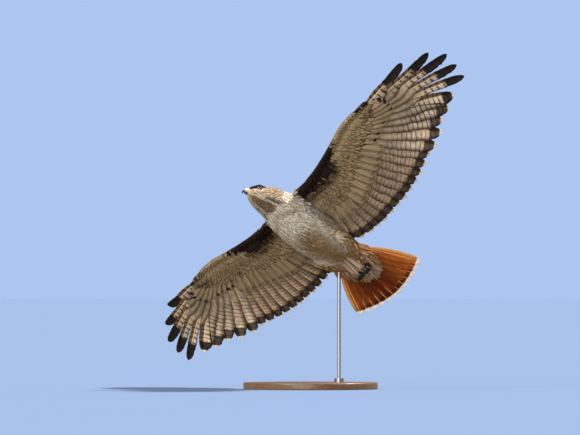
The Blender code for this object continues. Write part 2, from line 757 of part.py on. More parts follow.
def bill_upper_node(collection):
    """Hooked upper bill with its cere and nostrils."""
    bill = loft("bill_upper", [bill_ring(*station, 0.85) for station in UPPER_BILL], collection)
    x, y, z = NOSTRIL
    nostrils = [ball("cut", NOSTRIL_RADIUS, (x, side * y, z), collection, 10, 6) for side in (1.0, -1.0)]
    fuse(bill, nostrils, 'DIFFERENCE')
    return turned(bill)


def bill_lower_node(collection):
    """Lower bill, closed under the upper one."""
    rings = [bill_ring(*station, 0.75, 10) for station in LOWER_BILL]
    return turned(loft("bill_lower", rings, collection))


def arc_path(centre, lateral, start, end, radius, thick, thin, steps):
    """Points and radii round a curl in the upright plane; angles run from forward through up."""
    path = []
    for t in np.linspace(0.0, 1.0, steps):
        turn = math.radians(start + (end - start) * t)
        path.append((centre[0] + radius * math.cos(turn), lateral,
                     centre[2] + radius * math.sin(turn), thick + (thin - thick) * t))
    return path


def foot_nodes(side, label, collection):
    """One clenched foot and its four claws."""
    centre = (FIST_CENTRE[0], FIST_CENTRE[1] * side, FIST_CENTRE[2])
    ankle = THIGH_PATH[-1]
    heel = (ankle[0] + TARSUS_RADIUS, ankle[1] * side, ankle[2], TARSUS_RADIUS)
    palm = (centre[0], centre[1], centre[2] + TOE_CURL, TARSUS_RADIUS * 1.1)
    toes = []
    claws = []
    gap_turn = math.degrees(GAP / TOE_CURL)
    for k in (-1, 0, 1):
        lateral = centre[1] + k * TOE_SPACING
        toes.append(bead("toe", arc_path(centre, lateral, 90.0, TOE_END, TOE_CURL, TOE_RADIUS, 0.0026, 9),
                         bpy.context.scene.collection, sides=8))
        if k:
            bridge = [(palm[0], centre[1], palm[2], TOE_RADIUS), (palm[0], lateral, palm[2], TOE_RADIUS)]
            toes.append(web(bridge))
        claw = arc_path(centre, lateral, TOE_END + gap_turn, TOE_END + CLAW_LENGTH, TOE_CURL, CLAW_RADIUS,
                        0.0003, 6)
        name = "claw_" + label + "_" + ("inner", "middle", "outer")[int(k * side) + 1]
        claws.append(bead(name, claw, collection, sides=8))
    lateral = centre[1] + 0.5 * TOE_SPACING * side
    toes.append(bead("toe", arc_path(centre, lateral, 90.0, HALLUX_END, TOE_CURL, TOE_RADIUS, 0.0026, 5),
                     bpy.context.scene.collection, sides=8))
    claw = arc_path(centre, lateral, HALLUX_END - gap_turn, HALLUX_END - 1.1 * CLAW_LENGTH, TOE_CURL,
                    CLAW_RADIUS, 0.0003, 6)
    claws.append(bead("claw_" + label + "_hind", claw, collection, sides=8))
    middle = tuple(0.5 * (h + p) for h, p in zip(heel[:3], palm[:3]))
    foot = bead("foot_" + label, [heel, (*middle, TARSUS_RADIUS), palm], collection, sides=10)
    fuse(foot, toes)
    fuse(foot, [bead("cut", thigh_path(side, GAP), bpy.context.scene.collection)], 'DIFFERENCE')
    return [foot] + claws


def web(ends):
    """A short round bar across the palm that carries an outer toe."""
    (x, y0, z, radius), (x1, y1, z1, radius1) = ends
    angle = np.linspace(0.0, 2.0 * math.pi, 8, endpoint=False)
    circle = np.stack([np.cos(angle), np.zeros(8), np.sin(angle)], axis=1)
    start = np.array([x, y0, z]) + radius * 0.93 * circle
    stop = np.array([x1, y1, z1]) + radius1 * 0.93 * circle
    return loft("web", [start, stop], bpy.context.scene.collection)


def stand_nodes(collection):
    """Flat round base, collar and upright rod, in world coordinates."""
    bpy.ops.mesh.primitive_cylinder_add(vertices=48, radius=BASE_RADIUS, depth=BASE_HEIGHT,
                                        location=(0.0, 0.0, 0.5 * BASE_HEIGHT))
    base = bpy.context.active_object
    base.name = "stand_base"
    edge = base.modifiers.new("edge", 'BEVEL')
    edge.width = BASE_BEVEL
    edge.segments = 2
    bpy.ops.mesh.primitive_cylinder_add(vertices=24, radius=COLLAR_RADIUS, depth=COLLAR_HEIGHT,
                                        location=(*ROD_PLACE, BASE_HEIGHT + GAP + 0.5 * COLLAR_HEIGHT))
    collar = bpy.context.active_object
    collar.name = "stand_collar"
    foot = BASE_HEIGHT + 2.0 * GAP + COLLAR_HEIGHT
    bpy.ops.mesh.primitive_cylinder_add(vertices=16, radius=ROD_RADIUS, depth=SHOULDER_HEIGHT - foot,
                                        location=(*ROD_PLACE, 0.5 * (SHOULDER_HEIGHT + foot)))
    rod = bpy.context.active_object
    rod.name = "stand_rod"
    for obj in (base, collar, rod):
        for home in list(obj.users_collection):
            home.objects.unlink(obj)
        collection.objects.link(obj)
    return base, collar, rod


def main():
    clear_scene()
    hawk = new_collection("red_tailed_hawk")
    cutters = new_collection("cutters")
    plumage = material("plumage_pale", (0.62, 0.52, 0.40), 0.85)
    crown = material("plumage_head", (0.50, 0.33, 0.20), 0.85)
    tail_red = material("tail_red", (0.62, 0.24, 0.08), 0.80)
    wing_brown = material("wing_feathers", (0.42, 0.34, 0.26), 0.80)
    horn = material("bill_horn", (0.10, 0.10, 0.12), 0.35)
    iris = material("eye_brown", (0.06, 0.03, 0.02), 0.10)
    scales = material("foot_skin", (0.30, 0.22, 0.10), 0.60)
    claw_black = material("claw_black", (0.02, 0.02, 0.02), 0.30)
    wood = material("stand_wood", (0.13, 0.08, 0.05), 0.45)
    steel = material("stand_steel", (0.55, 0.55, 0.56), 0.35, 1.0)

    def torso_skin():
        return body_length("cut", TORSO_FRONT + 0.02, TAIL_FRONT - 0.07, 16, cutters, GAP)

    head = head_node(hawk)
    neck = body_length("neck", NECK_FRONT, TORSO_FRONT + GAP, 4, hawk)
    torso = body_length("torso", TORSO_FRONT, TAIL_FRONT + GAP, 14, hawk)
    fuse(torso, thigh_cutters(GAP), 'DIFFERENCE')
    tail = body_length("tail", TAIL_FRONT, TAIL_COVERT_END, 7, hawk)
    fuse(tail, [rectrix(i, hawk) for i in range(RECTRICES)])
    fuse(tail, thigh_cutters(GAP), 'DIFFERENCE')
    bird = [(head, crown), (neck, crown), (torso, plumage), (tail, tail_red)]
    bird.append((bill_upper_node(hawk), horn))
    bird.append((bill_lower_node(hawk), horn))
    for side, label in ((1.0, "left"), (-1.0, "right")):
        bird.append((eye_node(side, label, hawk), iris))
        bird += [(node, wing_brown) for node in wing_nodes(side, label, hawk, torso_skin)]
        thigh = bead("thigh_" + label, thigh_path(side), hawk)
        bird.append((thigh, plumage))
        foot, *claws = foot_nodes(side, label, hawk)
        bird.append((foot, scales))
        bird += [(claw, claw_black) for claw in claws]

    attitude = bpy.data.objects.new("hawk_attitude", None)
    hawk.objects.link(attitude)
    attitude.location = (*SHOULDER_OFFSET, SHOULDER_HEIGHT)
    attitude.rotation_mode = 'XYZ'
    attitude.rotation_euler = Euler((BANK, -CLIMB, HEADING), 'XYZ')
    for node, skin in bird:
        node.parent = attitude
        node.data.materials.clear()
        node.data.materials.append(skin)

    base, collar, rod = stand_nodes(hawk)
    rump = body_length("cut", TORSO_FRONT, TAIL_COVERT_END, 16, cutters, GAP)
    rump.parent = attitude
    thigh = bead("cut", thigh_path(-1.0, GAP), cutters)
    thigh.parent = attitude
    bpy.context.view_layer.update()
    fuse(rod, [rump, thigh], 'DIFFERENCE')
    for node, skin in ((base, wood), (collar, steel), (rod, steel)):
        node.data.materials.clear()
        node.data.materials.append(skin)
    bpy.data.collections.remove(cutters)


main()
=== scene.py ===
import json
import math
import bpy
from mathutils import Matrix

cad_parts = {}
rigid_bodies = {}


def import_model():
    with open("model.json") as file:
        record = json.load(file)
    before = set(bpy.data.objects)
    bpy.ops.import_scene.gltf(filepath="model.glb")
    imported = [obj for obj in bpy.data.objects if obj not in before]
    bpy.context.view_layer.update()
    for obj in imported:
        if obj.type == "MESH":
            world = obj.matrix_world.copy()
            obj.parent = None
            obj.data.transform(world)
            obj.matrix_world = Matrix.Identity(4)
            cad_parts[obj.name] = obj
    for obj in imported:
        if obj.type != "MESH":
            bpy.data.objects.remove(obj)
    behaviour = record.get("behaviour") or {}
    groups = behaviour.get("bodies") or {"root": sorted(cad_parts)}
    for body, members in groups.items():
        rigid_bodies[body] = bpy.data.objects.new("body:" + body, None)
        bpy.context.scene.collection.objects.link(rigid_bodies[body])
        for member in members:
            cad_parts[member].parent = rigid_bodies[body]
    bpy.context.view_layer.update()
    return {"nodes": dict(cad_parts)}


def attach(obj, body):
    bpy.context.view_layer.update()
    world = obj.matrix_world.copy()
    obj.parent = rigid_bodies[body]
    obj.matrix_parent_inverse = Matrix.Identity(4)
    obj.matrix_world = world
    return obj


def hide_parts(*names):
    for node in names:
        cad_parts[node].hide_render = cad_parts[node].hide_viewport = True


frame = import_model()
from types import SimpleNamespace

import bpy
import numpy as np
from mathutils import Euler, Matrix, Vector
from mathutils.bvhtree import BVHTree

bl_info = {
    "name": "Soaring Hawk",
    "version": (1, 0, 0),
    "blender": (4, 5, 0),
    "location": "View3D > Sidebar > Hawk",
    "description": "Plumage, head, feet and display stand of a life-size soaring hawk",
    "category": "Add Mesh",
}


def frame_at(place, degrees):
    """Matrix out of a frame that sits at a place, turned by degrees about x, y and z."""
    turn = Euler([math.radians(angle) for angle in degrees], 'XYZ')
    return np.array(Matrix.Translation(place) @ turn.to_matrix().to_4x4())


# The bird's own frame: x forward, y to its left, z to its back, origin between the shoulders
TO_WORLD = frame_at((-0.083, -0.030, 0.495), (48.0, -31.2, -156.45))
# The head's frame between the eyes, inside the bird's
TO_BIRD = frame_at((0.0864, 0.0002, -0.0235), (-12.0, 11.0, -13.0))
FULL_TURN = 2.0 * math.pi
SIDES = ((1.0, "left"), (-1.0, "right"))

# Body outline: x, centre y and z, half width, height above, below
BODY = (
    (0.1040, -0.0042, -0.0380, 0.0045, 0.0040, 0.0040),
    (0.0980, -0.0030, -0.0370, 0.0110, 0.0080, 0.0100),
    (0.0850, -0.0010, -0.0345, 0.0215, 0.0150, 0.0190),
    (0.0720, 0.0010, -0.0315, 0.0300, 0.0220, 0.0255),
    (0.0580, 0.0035, -0.0285, 0.0375, 0.0275, 0.0315),
    (0.0450, 0.0045, -0.0270, 0.0420, 0.0300, 0.0360),
    (0.0300, 0.0045, -0.0265, 0.0460, 0.0320, 0.0400),
    (0.0130, 0.0040, -0.0265, 0.0520, 0.0350, 0.0445),
    (-0.0120, 0.0015, -0.0280, 0.0580, 0.0390, 0.0500),
    (-0.0470, 0.0000, -0.0300, 0.0625, 0.0430, 0.0550),
    (-0.0900, 0.0000, -0.0310, 0.0665, 0.0455, 0.0585),
    (-0.1350, 0.0000, -0.0300, 0.0660, 0.0445, 0.0580),
    (-0.1800, 0.0000, -0.0275, 0.0590, 0.0400, 0.0500),
    (-0.2150, 0.0000, -0.0250, 0.0520, 0.0335, 0.0390),
    (-0.2450, 0.0000, -0.0225, 0.0480, 0.0250, 0.0280),
    (-0.2750, 0.0000, -0.0205, 0.0390, 0.0160, 0.0180),
    (-0.3050, 0.0000, -0.0195, 0.0270, 0.0085, 0.0100),
    (-0.3250, 0.0000, -0.0190, 0.0170, 0.0035, 0.0045),
)
# Skull in the head's frame: x, half width, top, bottom
SKULL_LEVEL = -0.0040
SKULL = (
    (0.0165, 0.0088, 0.0048, -0.0150),
    (0.0140, 0.0112, 0.0087, -0.0162),
    (0.0080, 0.0160, 0.0138, -0.0176),
    (0.0000, 0.0200, 0.0178, -0.0215),
    (-0.0090, 0.0234, 0.0192, -0.0255),
    (-0.0190, 0.0252, 0.0184, -0.0280),
    (-0.0280, 0.0240, 0.0160, -0.0270),
    (-0.0350, 0.0190, 0.0110, -0.0220),
)
EYE_BACK = -0.0090
EYE_OUT = 0.0163
EYE_RADIUS = 0.0090
LID_RADIUS = 0.0063
LID_AXIS = (0.36, 0.93, 0.06)
LID_OUT = 0.0063
BROW = (
    (0.0045, 0.0156, 0.0052, 0.0013), (-0.0010, 0.0186, 0.0074, 0.0025), (-0.0080, 0.0214, 0.0086, 0.0029),
    (-0.0145, 0.0226, 0.0078, 0.0024), (-0.0195, 0.0226, 0.0058, 0.0012),
)
MOUTH_Z = -0.0100
# Upper bill in the head's frame: top x and z, lower x and z, half width
UPPER_BILL = (
    (0.0168, 0.0032, 0.0168, -0.0098, 0.0080), (0.0213, 0.0032, 0.0210, -0.0098, 0.0072),
    (0.0263, 0.0018, 0.0255, -0.0097, 0.0062), (0.0310, -0.0018, 0.0290, -0.0100, 0.0049),
    (0.0346, -0.0070, 0.0314, -0.0114, 0.0036), (0.0366, -0.0130, 0.0336, -0.0140, 0.0023),
    (0.0362, -0.0205, 0.0352, -0.0192, 0.0006),
)
LOWER_BILL = (
    (0.0168, -0.0102, 0.0168, -0.0142, 0.0060), (0.0220, -0.0102, 0.0220, -0.0139, 0.0052),
    (0.0265, -0.0102, 0.0268, -0.0131, 0.0040), (0.0288, -0.0108, 0.0292, -0.0122, 0.0015),
)
NOSTRIL = (0.0218, 0.0068, -0.0012)
# Rings and sides of the head's pieces
UPPER_RINGS, UPPER_SIDES = 48, 28
LOWER_RINGS, LOWER_SIDES = 20, 24
EYE_RINGS, EYE_SIDES = 40, 48
LID_RINGS, LID_SIDES = 72, 14

# Wing: its tables start with the distance out from the midline
DIHEDRAL = 0.143
SHOULDER_OUT = 0.067
LEADING_EDGE = ((0.020, 0.000), (0.067, -0.001), (0.115, -0.005), (0.175, 0.001), (0.235, 0.0125),
                (0.275, 0.0212), (0.310, 0.0223), (0.365, 0.0130), (0.400, 0.0115))
BAR_REACH = ((0.050, 0.22), (0.100, 0.28), (0.150, 0.38), (0.180, 0.35), (0.200, 0.16), (0.215, 0.09),
             (0.38, 0.08))
CORE_REAR = ((0.020, -0.125), (0.100, -0.112), (0.150, -0.104), (0.200, -0.086), (0.260, -0.066),
             (0.300, -0.054), (0.340, -0.045), (0.360, -0.034), (0.380, -0.016))
CORE_THICKNESS = ((0.020, 0.034), (0.067, 0.026), (0.120, 0.019), (0.200, 0.015), (0.300, 0.012),
                  (0.360, 0.0085), (0.380, 0.0070))
CORE_PROFILE = ((0.0, 0.0), (0.05, 0.52), (0.22, 1.0), (0.60, 0.92), (1.0, 0.60))
VANE_TILT = math.tan(math.radians(6.0))
FINGER_TILT = math.tan(math.radians(9.0))
PRIMARY_LENGTH = (0.220, 0.226, 0.224, 0.240, 0.252, 0.284, 0.277, 0.264, 0.220, 0.149)
PRIMARY_SWEEP = (57.0, 49.5, 42.0, 36.0, 30.7, 25.0, 20.3, 15.6, 11.3, 4.2)
PRIMARY_LIFT = (-0.013, -0.014, -0.016, -0.018, -0.018, -0.014, 0.000, 0.021, 0.038, 0.032)
PRIMARY_ROOTS = ((0.276, -0.036), (0.338, -0.030), (0.357, 0.001))
LAST_INNER_PRIMARY = 5
LIFT_POWER = 3.5
SECONDARIES = 9
SECONDARY_ROOTS = ((0.262, -0.036), (0.151, -0.086))
INNER_FEATHERS = 5
INNER_ROOTS = ((0.137, -0.088), (0.086, -0.084))
TIP_OUT = 0.361
TIP_STEP = 0.0275
TRAILING_EDGE = -0.257
TRAILING_RISE_OUT = 1.35
TRAILING_RISE_IN = 3.6
# Reach of each web from the shaft: a finger, another primary, a feather of the inner wing
OUTER_WEB = (0.0115, 0.0140, 0.0125)
INNER_WEB = (0.0250, 0.0300, 0.0245)
SECONDARY_LIFT = -0.006
INNER_LIFT = 0.004
SHAFT_WIDTH = 0.0013
SHAFT_RIB = 0.0007
COVERT_RIB = 0.0003
# Shading along the row of flight feathers, outermost first, as feather number and value
TIP_BAND = ((0, 0.064), (1, 0.056), (2, 0.072), (3, 0.060), (4, 0.056), (5, 0.034), (6, 0.041), (7, 0.037),
            (8, 0.035), (9, 0.034), (10, 0.0320))
BARRING = ((0, 0.95), (4, 0.85), (9, 0.62), (10, 0.60))
BAR_SPACING = ((4, 0.0175), (5, 0.0135), (9, 0.0128), (11, 0.0108))
BLACKNESS = ((4, 1.0), (7, 0.35), (24, 0.25))
DEEPNESS = ((0, 0.55), (3, 0.42), (5, 0.05), (9, 0.12), (11, 0.75), (19, 0.85), (24, 0.55))
# Rows of small feathers, as shares of the chord
COVERT_ROWS = np.concatenate([np.linspace(0.0, 0.24, 7), np.linspace(0.30, 0.86, 10)])
# Tail
RECTRICES = 12
TAIL_ROOT = (-0.212, -0.020)
TAIL_ROOT_HALF = 0.020
TAIL_LENGTH = 0.212
TAIL_TURN = math.radians(-4.5)
TAIL_HALF_FAN = math.radians(28.5)
TAIL_BULGE = 0.020
TAIL_START = 0.20
TAIL_OUTER_WEB = 0.0130
TAIL_INNER_WEB = 0.0205
# Legs
THIGH = (
    (-0.1300, 0.0340, -0.0440, 0.0120), (-0.1450, 0.0360, -0.0450, 0.0205),
    (-0.1700, 0.0385, -0.0460, 0.0250), (-0.2000, 0.0370, -0.0465, 0.0245),
    (-0.2300, 0.0300, -0.0465, 0.0190), (-0.2500, 0.0230, -0.0470, 0.0130),
    (-0.2640, 0.0180, -0.0480, 0.0075),
)
TARSUS_RADIUS = 0.0044
FIST = (-0.2860, 0.0150, -0.0560)
TOE_RADIUS = 0.0031
TOE_CURL = 0.0095
TOE_SPACING = 0.0086
TOE_END = 285.0
HALLUX_END = 18.0
CLAW_LENGTH = 52.0
CLAW_RADIUS = 0.0022
CLAW_POINT = 0.0002
TOE_RINGS = 40
HALLUX_RINGS = 24
CLAW_RINGS = 22
PALM_RINGS = 9
TOE_SIDES = 18
# Stand, in world coordinates
BASE_RADIUS = 0.180
BASE_HEIGHT = 0.018
BASE_BEVEL = 0.003
# Stage
FLOOR_REACH = 400.0
CAMERA_DISTANCE = 15.0
CAMERA_TILT = 0.8
PIXELS_PER_METRE = 373.5
PICTURE_WIDTH = 580.0
SENSOR_WIDTH = 36.0
# Lamps: the way toward each, strength, spread in degrees, colour
SUNS = {
    "sun_behind": ((0.60, 0.22, 0.76), 6.0, 6.0, (1.0, 0.95, 0.87)),
    "sun_front": ((-0.62, -0.55, 0.56), 3.0, 25.0, (1.0, 0.98, 0.94)),
    "sun_fill": ((-0.25, -0.95, 0.12), 1.5, 35.0, (1.0, 0.98, 0.95)),
}


def knots(at, table, column=1):
    """Smooth cubic through the rows of a table, for an array of places along its first column."""
    rows = np.array(table, float)
    rows = rows[np.argsort(rows[:, 0])]
    xs = rows[:, 0]
    ys = rows[:, column]
    slope = np.gradient(ys, xs)
    at = np.clip(at, xs[0], xs[-1])
    k = np.clip(np.searchsorted(xs, at) - 1, 0, len(xs) - 2)
    h = xs[k + 1] - xs[k]
    t = (at - xs[k]) / h
    return ((2 * t**3 - 3 * t**2 + 1) * ys[k] + (t**3 - 2 * t**2 + t) * h * slope[k]
            + (3 * t**2 - 2 * t**3) * ys[k + 1] + (t**3 - t**2) * h * slope[k + 1])


def smooth(value, low, high):
    """0 below low, 1 above high, with a soft S between."""
    t = np.clip((value - low) / (high - low), 0.0, 1.0)
    return t * t * (3.0 - 2.0 * t)


def unit(vectors):
    """Each vector divided by its length."""
    return vectors / np.maximum(np.linalg.norm(vectors, axis=-1, keepdims=True), 1e-12)


def circle(count):
    """Angles spread evenly over a full turn."""
    return np.linspace(0.0, FULL_TURN, count, endpoint=False)


def inset(across, up):
    """Places a little inside the edges of the unwrap, from two shares."""
    return np.stack([across, up], 1) * 0.98 + 0.01


def placed(points, matrix):
    """Points taken through a four by four matrix."""
    return points @ matrix[:3, :3].T + matrix[:3, 3]


# Meshes

def put_attributes(mesh, attributes):
    """Named vectors at the mesh's points."""
    for label, values in attributes.items():
        layer = mesh.attributes.new(label, 'FLOAT_VECTOR', 'POINT')
        layer.data.foreach_set("vector", np.asarray(values, np.float32).ravel())


def put_mesh(name, points, faces, shader, attributes=None, places=None, bird=True):
    """A smooth mesh object at the origin from arrays of points and of faces of equal size.

    attributes are vectors at the points, and places an unwrap of the points for the map OFBake.
    """
    points = np.asarray(points, float).reshape(-1, 3)
    if bird:
        points = placed(points, TO_WORLD)
    loops = np.concatenate([np.asarray(f).ravel() for f in faces])
    totals = np.concatenate([np.full(len(f), np.asarray(f).shape[1]) for f in faces])
    starts = np.concatenate([[0], np.cumsum(totals)[:-1]])
    mesh = bpy.data.meshes.new(name)
    mesh.vertices.add(len(points))
    mesh.vertices.foreach_set("co", points.astype(np.float32).ravel())
    mesh.loops.add(len(loops))
    mesh.loops.foreach_set("vertex_index", loops.astype(np.int32))
    mesh.polygons.add(len(totals))
    mesh.polygons.foreach_set("loop_start", starts.astype(np.int32))
    mesh.polygons.foreach_set("loop_total", totals.astype(np.int32))
    mesh.update(calc_edges=True)
    mesh.shade_smooth()
    put_attributes(mesh, attributes or {})
    if places is not None:
        layer = mesh.uv_layers.new(name="OFBake")
        layer.data.foreach_set("uv", np.asarray(places, np.float32).reshape(-1, 2)[loops].ravel())
    mesh.materials.append(shader)
    made = bpy.data.objects.new(name, mesh)
    bpy.context.scene.collection.objects.link(made)
    return made


def grid_faces(rows, columns, start=0, wrap=False, flip=False):
    """Quads of a grid whose points run along each row in turn; wrap joins its last column to its first."""
    r = np.arange(rows - 1)[:, None]
    c = np.arange(columns if wrap else columns - 1)[None, :]
    d = (c + 1) % columns
    quads = np.stack([r * columns + c, r * columns + d, (r + 1) * columns + d, (r + 1) * columns + c], -1)
    quads = quads.reshape(-1, 4) + start
    return quads[:, ::-1] if flip else quads


def tube_mesh(rings):
    """Points and faces of a closed tube: rings of points, with a fan of triangles over each end."""
    rings = np.asarray(rings)
    rows, columns = rings.shape[:2]
    points = np.concatenate([rings.reshape(-1, 3), rings[0].mean(0)[None], rings[-1].mean(0)[None]])
    c = np.arange(columns)
    d = (c + 1) % columns
    first = np.stack([np.full(columns, rows * columns), d, c], 1)
    end = (rows - 1) * columns
    last = np.stack([np.full(columns, rows * columns + 1), end + c, end + d], 1)
    quads = grid_faces(rows, columns, wrap=True)
    a, b, e = points[quads[:, 0]], points[quads[:, 1]], points[quads[:, 2]]
    normal = np.cross(b - a, e - a)
    outward = 0.5 * (a + e) - np.repeat(rings.mean(1)[:-1], columns, 0)
    if np.sum(normal * outward) < 0.0:
        return points, [quads[:, ::-1], np.concatenate([first, last])[:, ::-1]]
    return points, [quads, np.concatenate([first, last])]


def joined(parts):
    """Points and faces of several closed tubes as one mesh: their quads, then their triangles."""
    starts = np.cumsum([0] + [len(part[0]) for part in parts])
    faces = [np.concatenate([part[1][k] + start for part, start in zip(parts, starts)]) for k in (0, 1)]
    return np.concatenate([part[0] for part in parts]), faces


def swept(path, sides=20, squash=1.0):
    """Rings of a round section carried along a path of x, y, z and radius.

    Each ring stands across the path's direction; squash narrows it sideways.
    """
    path = np.asarray(path, float)
    along = unit(np.gradient(path[:, :3], axis=0, edge_order=2))
    across = unit(np.cross(along, (0.0, 1.0, 0.0)))
    third = np.cross(along, across)
    angle = circle(sides)[None, :, None]
    return path[:, None, :3] + path[:, None, 3:4] * (across[:, None] * np.cos(angle)
                                                     + squash * third[:, None] * np.sin(angle))


def resampled(path, count):
    """A path with count points on the smooth curve through the given ones."""
    path = np.asarray(path, float)
    table = np.column_stack([np.arange(len(path)), path])
    at = np.linspace(0.0, len(path) - 1.0, count)
    return np.stack([knots(at, table, k + 1) for k in range(path.shape[1])], 1)


# Surfaces of the body

def body_surface(x, angle, sink=0.0):
    """Points on the body: an ellipse across it at x, lower half deeper, pulled in by sink."""
    half = knots(x, BODY, 3) - sink
    tall = np.where(np.sin(angle) > 0.0, knots(x, BODY, 4), knots(x, BODY, 5)) - sink
    return np.stack([x + 0.0 * angle, knots(x, BODY, 1) + np.maximum(half, 0.0004) * np.cos(angle),
                     knots(x, BODY, 2) + np.maximum(tall, 0.0004) * np.sin(angle)], -1)


def skull_surface(x, angle, sink=0.0):
    """Points on the skull in the bird's frame, by the same rule as the body."""
    half = knots(x, SKULL, 1) - sink
    above, below = knots(x, SKULL, 2) - SKULL_LEVEL, SKULL_LEVEL - knots(x, SKULL, 3)
    tall = np.where(np.sin(angle) > 0.0, above, below) - sink
    local = np.stack([x + 0.0 * angle, half * np.cos(angle), SKULL_LEVEL + tall * np.sin(angle)], -1)
    return placed(local, TO_BIRD)


def wing_height(out):
    """Height of the wing's middle surface at a distance out from the midline."""
    return DIHEDRAL * (out - SHOULDER_OUT)


def wing_core(out, chord, upper, side, sink=0.0):
    """Points on the wing's fleshy part at a distance out and a share of its chord, above or below."""
    front = knots(out, LEADING_EDGE)
    rear = knots(out, CORE_REAR)
    half = np.maximum(0.5 * knots(out, CORE_THICKNESS) * knots(chord, CORE_PROFILE) - sink, 0.0003)
    x = front - sink + (rear - front + 2.0 * sink) * chord
    z = wing_height(out) + np.where(upper, half, -half) - 0.003 * (1.0 - chord)
    return np.stack([x, out * side + 0.0 * x, z], -1)


def thigh_rings(side, sink=0.0, sides=24):
    """Rings of one feathered thigh."""
    path = resampled(THIGH, 24)
    path[:, 1] *= side
    path[:, 3] = np.maximum(path[:, 3] - sink, 0.001)
    return swept(path, sides)


def flesh_parts():
    """The closed forms that make up the bird under its plumage, each as points and faces."""
    angle = circle(48)
    parts = []
    x = np.linspace(BODY[0][0], BODY[-1][0], 110)[:, None]
    depth = 0.0012 + 0.0026 * smooth(-x, -0.06, 0.02)
    parts.append(tube_mesh(body_surface(x, angle[None], depth)))
    x = np.linspace(SKULL[0][0], SKULL[-1][0], 30)[:, None]
    parts.append(tube_mesh(skull_surface(x, angle[None], 0.0010)))
    for side, label in SIDES:
        parts.append(tube_mesh(thigh_rings(side, 0.0030)))
        brow = resampled(BROW, 14) * (1.0, side, 1.0, 1.0)
        parts.append(tube_mesh(placed(swept(brow, 12), TO_BIRD)))
        out = np.linspace(0.030, 0.378, 60)[:, None]
        back = np.linspace(0.0, 1.0, 16)**1.4
        forth = np.linspace(1.0, 0.0, 16)[1:-1]**1.4
        chord = np.concatenate([back, forth])[None]
        upper = (np.arange(30) < 16)[None]
        parts.append(tube_mesh(wing_core(out, chord, upper, side, 0.0022)))
    return parts


# Markings

def bump(value, centre, width):
    """1 at the centre, falling off on both sides over the width."""
    return np.exp(-((value - centre) / width)**2)


def plumage_marks(points):
    """Shares of rufous, brown, streaks, tan and near black over the bird, one row for each point.

    They depend on how far back the point lies and on its angle round the body from the middle of the
    belly, and on the head on its place in the head's own frame.
    """
    x, y, z = points.T
    turn = np.abs(np.degrees(np.arctan2(y - knots(x, BODY, 1), knots(x, BODY, 2) - z)))
    local = placed(points, np.linalg.inv(TO_BIRD))
    ahead, high = local[:, 0], local[:, 2]
    head = smooth(x, 0.022, 0.050)
    face = smooth(x, 0.045, 0.062)
    cheek = head * smooth(turn, 46.0, 64.0)
    back = smooth(turn, 98.0, 124.0) * (1.0 - face)
    vent = smooth(-x, 0.160, 0.225)
    # Olive middle of the belly, partly painted shade; buff flanks; a pale band between them, partly painted
    # light
    middle = bump(turn, 0.0, 40.0) * smooth(-x, 0.030, 0.075)
    pale = bump(turn, 52.0 - 260.0 * np.clip(-x - 0.12, 0.0, 0.12), 13.0) * smooth(-x, 0.050, 0.090)
    flank = smooth(turn, 58.0, 78.0) * smooth(-x, 0.060, 0.110)
    belly = smooth(-x, 0.045, 0.110)
    tan = 0.10 + 0.24 * belly + 0.66 * middle + 0.30 * flank + 0.40 * vent
    tan = tan * (1.0 - 0.60 * pale) + 0.06 * cheek
    rufous = 0.01 + 0.05 * belly + 0.12 * middle + 0.42 * flank * smooth(-x, 0.08, 0.13) + 0.70 * vent
    rufous = rufous * (1.0 - 0.60 * pale) + 0.46 * cheek
    brown = 0.10 * middle * (1.0 - pale) + 0.22 * vent * smooth(turn, 20.0, 50.0)
    streak = 0.08 + 0.40 * bump(x, -0.090, 0.045) * (0.5 + 0.5 * smooth(turn, 20.0, 60.0)) * (1.0 - pale)
    axilla = smooth(turn, 62.0, 80.0) * smooth(-x, 0.004, 0.030) * (1.0 - smooth(-x, 0.100, 0.130))
    streak += 0.52 * axilla
    collar = bump(x, 0.020 - 0.0005 * turn, 0.010) * (1.0 - smooth(turn, 60.0, 80.0))
    tan += 0.40 * collar
    brown += 0.20 * collar
    # Throat, its brown partly painted shade under the head; dark whisker row and the pale stripe between
    # them
    throat = (1.0 - smooth(turn, 20.0, 34.0)) * smooth(x, 0.030, 0.046)
    tan += 0.60 * throat
    brown += 0.66 * throat
    rufous += 0.16 * throat
    streak += 0.34 * throat
    whisker = bump(turn, 43.0 + 320.0 * np.clip(0.045 - x, 0.0, 0.03), 8.5)
    whisker *= smooth(x, 0.018, 0.026) * (1.0 - smooth(x, 0.064, 0.076))
    brown += 0.36 * whisker
    rufous += 0.20 * whisker
    streak += 0.85 * whisker
    # Dark brow and forehead round the eye, partly painted shadow of the brow; pale lore and chin, dark line
    # behind the eye
    lower = -0.0012 - 0.0030 * smooth(ahead, -0.0040, 0.0040)
    crown = smooth(high, lower, lower + 0.0026) * smooth(ahead, -0.0205, -0.0160) * face
    nape = smooth(high, 0.0100, 0.0145) * (1.0 - smooth(ahead, -0.0205, -0.0160)) * head
    eye_line = bump(high, 0.0005, 0.0030) * smooth(-ahead, 0.012, 0.016)
    eye_line = eye_line * (1.0 - smooth(-ahead, 0.022, 0.030)) * face
    lore = smooth(ahead, 0.001, 0.007) * (1.0 - smooth(high, -0.0050, -0.0030)) * face
    rufous *= 1.0 - 0.6 * lore
    tan += 0.35 * lore
    brown = brown * (1.0 - 0.8 * lore) + 0.84 * crown + 0.80 * nape + 0.45 * eye_line
    # The crown's near black is partly painted shadow under the brow
    dark = 0.97 * crown * (1.0 - 0.85 * smooth(high, 0.0090, 0.0125)) + 0.10 * whisker + 0.25 * eye_line
    streak += 0.30 * cheek + 0.30 * (crown + nape)
    rufous *= 1.0 - 0.6 * back
    tan *= 1.0 - back
    brown = brown * (1.0 - back) + 0.84 * back
    streak = streak * (1.0 - back) + 0.55 * back
    return np.clip(np.stack([rufous, brown, streak, tan, dark], 1), 0.0, 1.0)


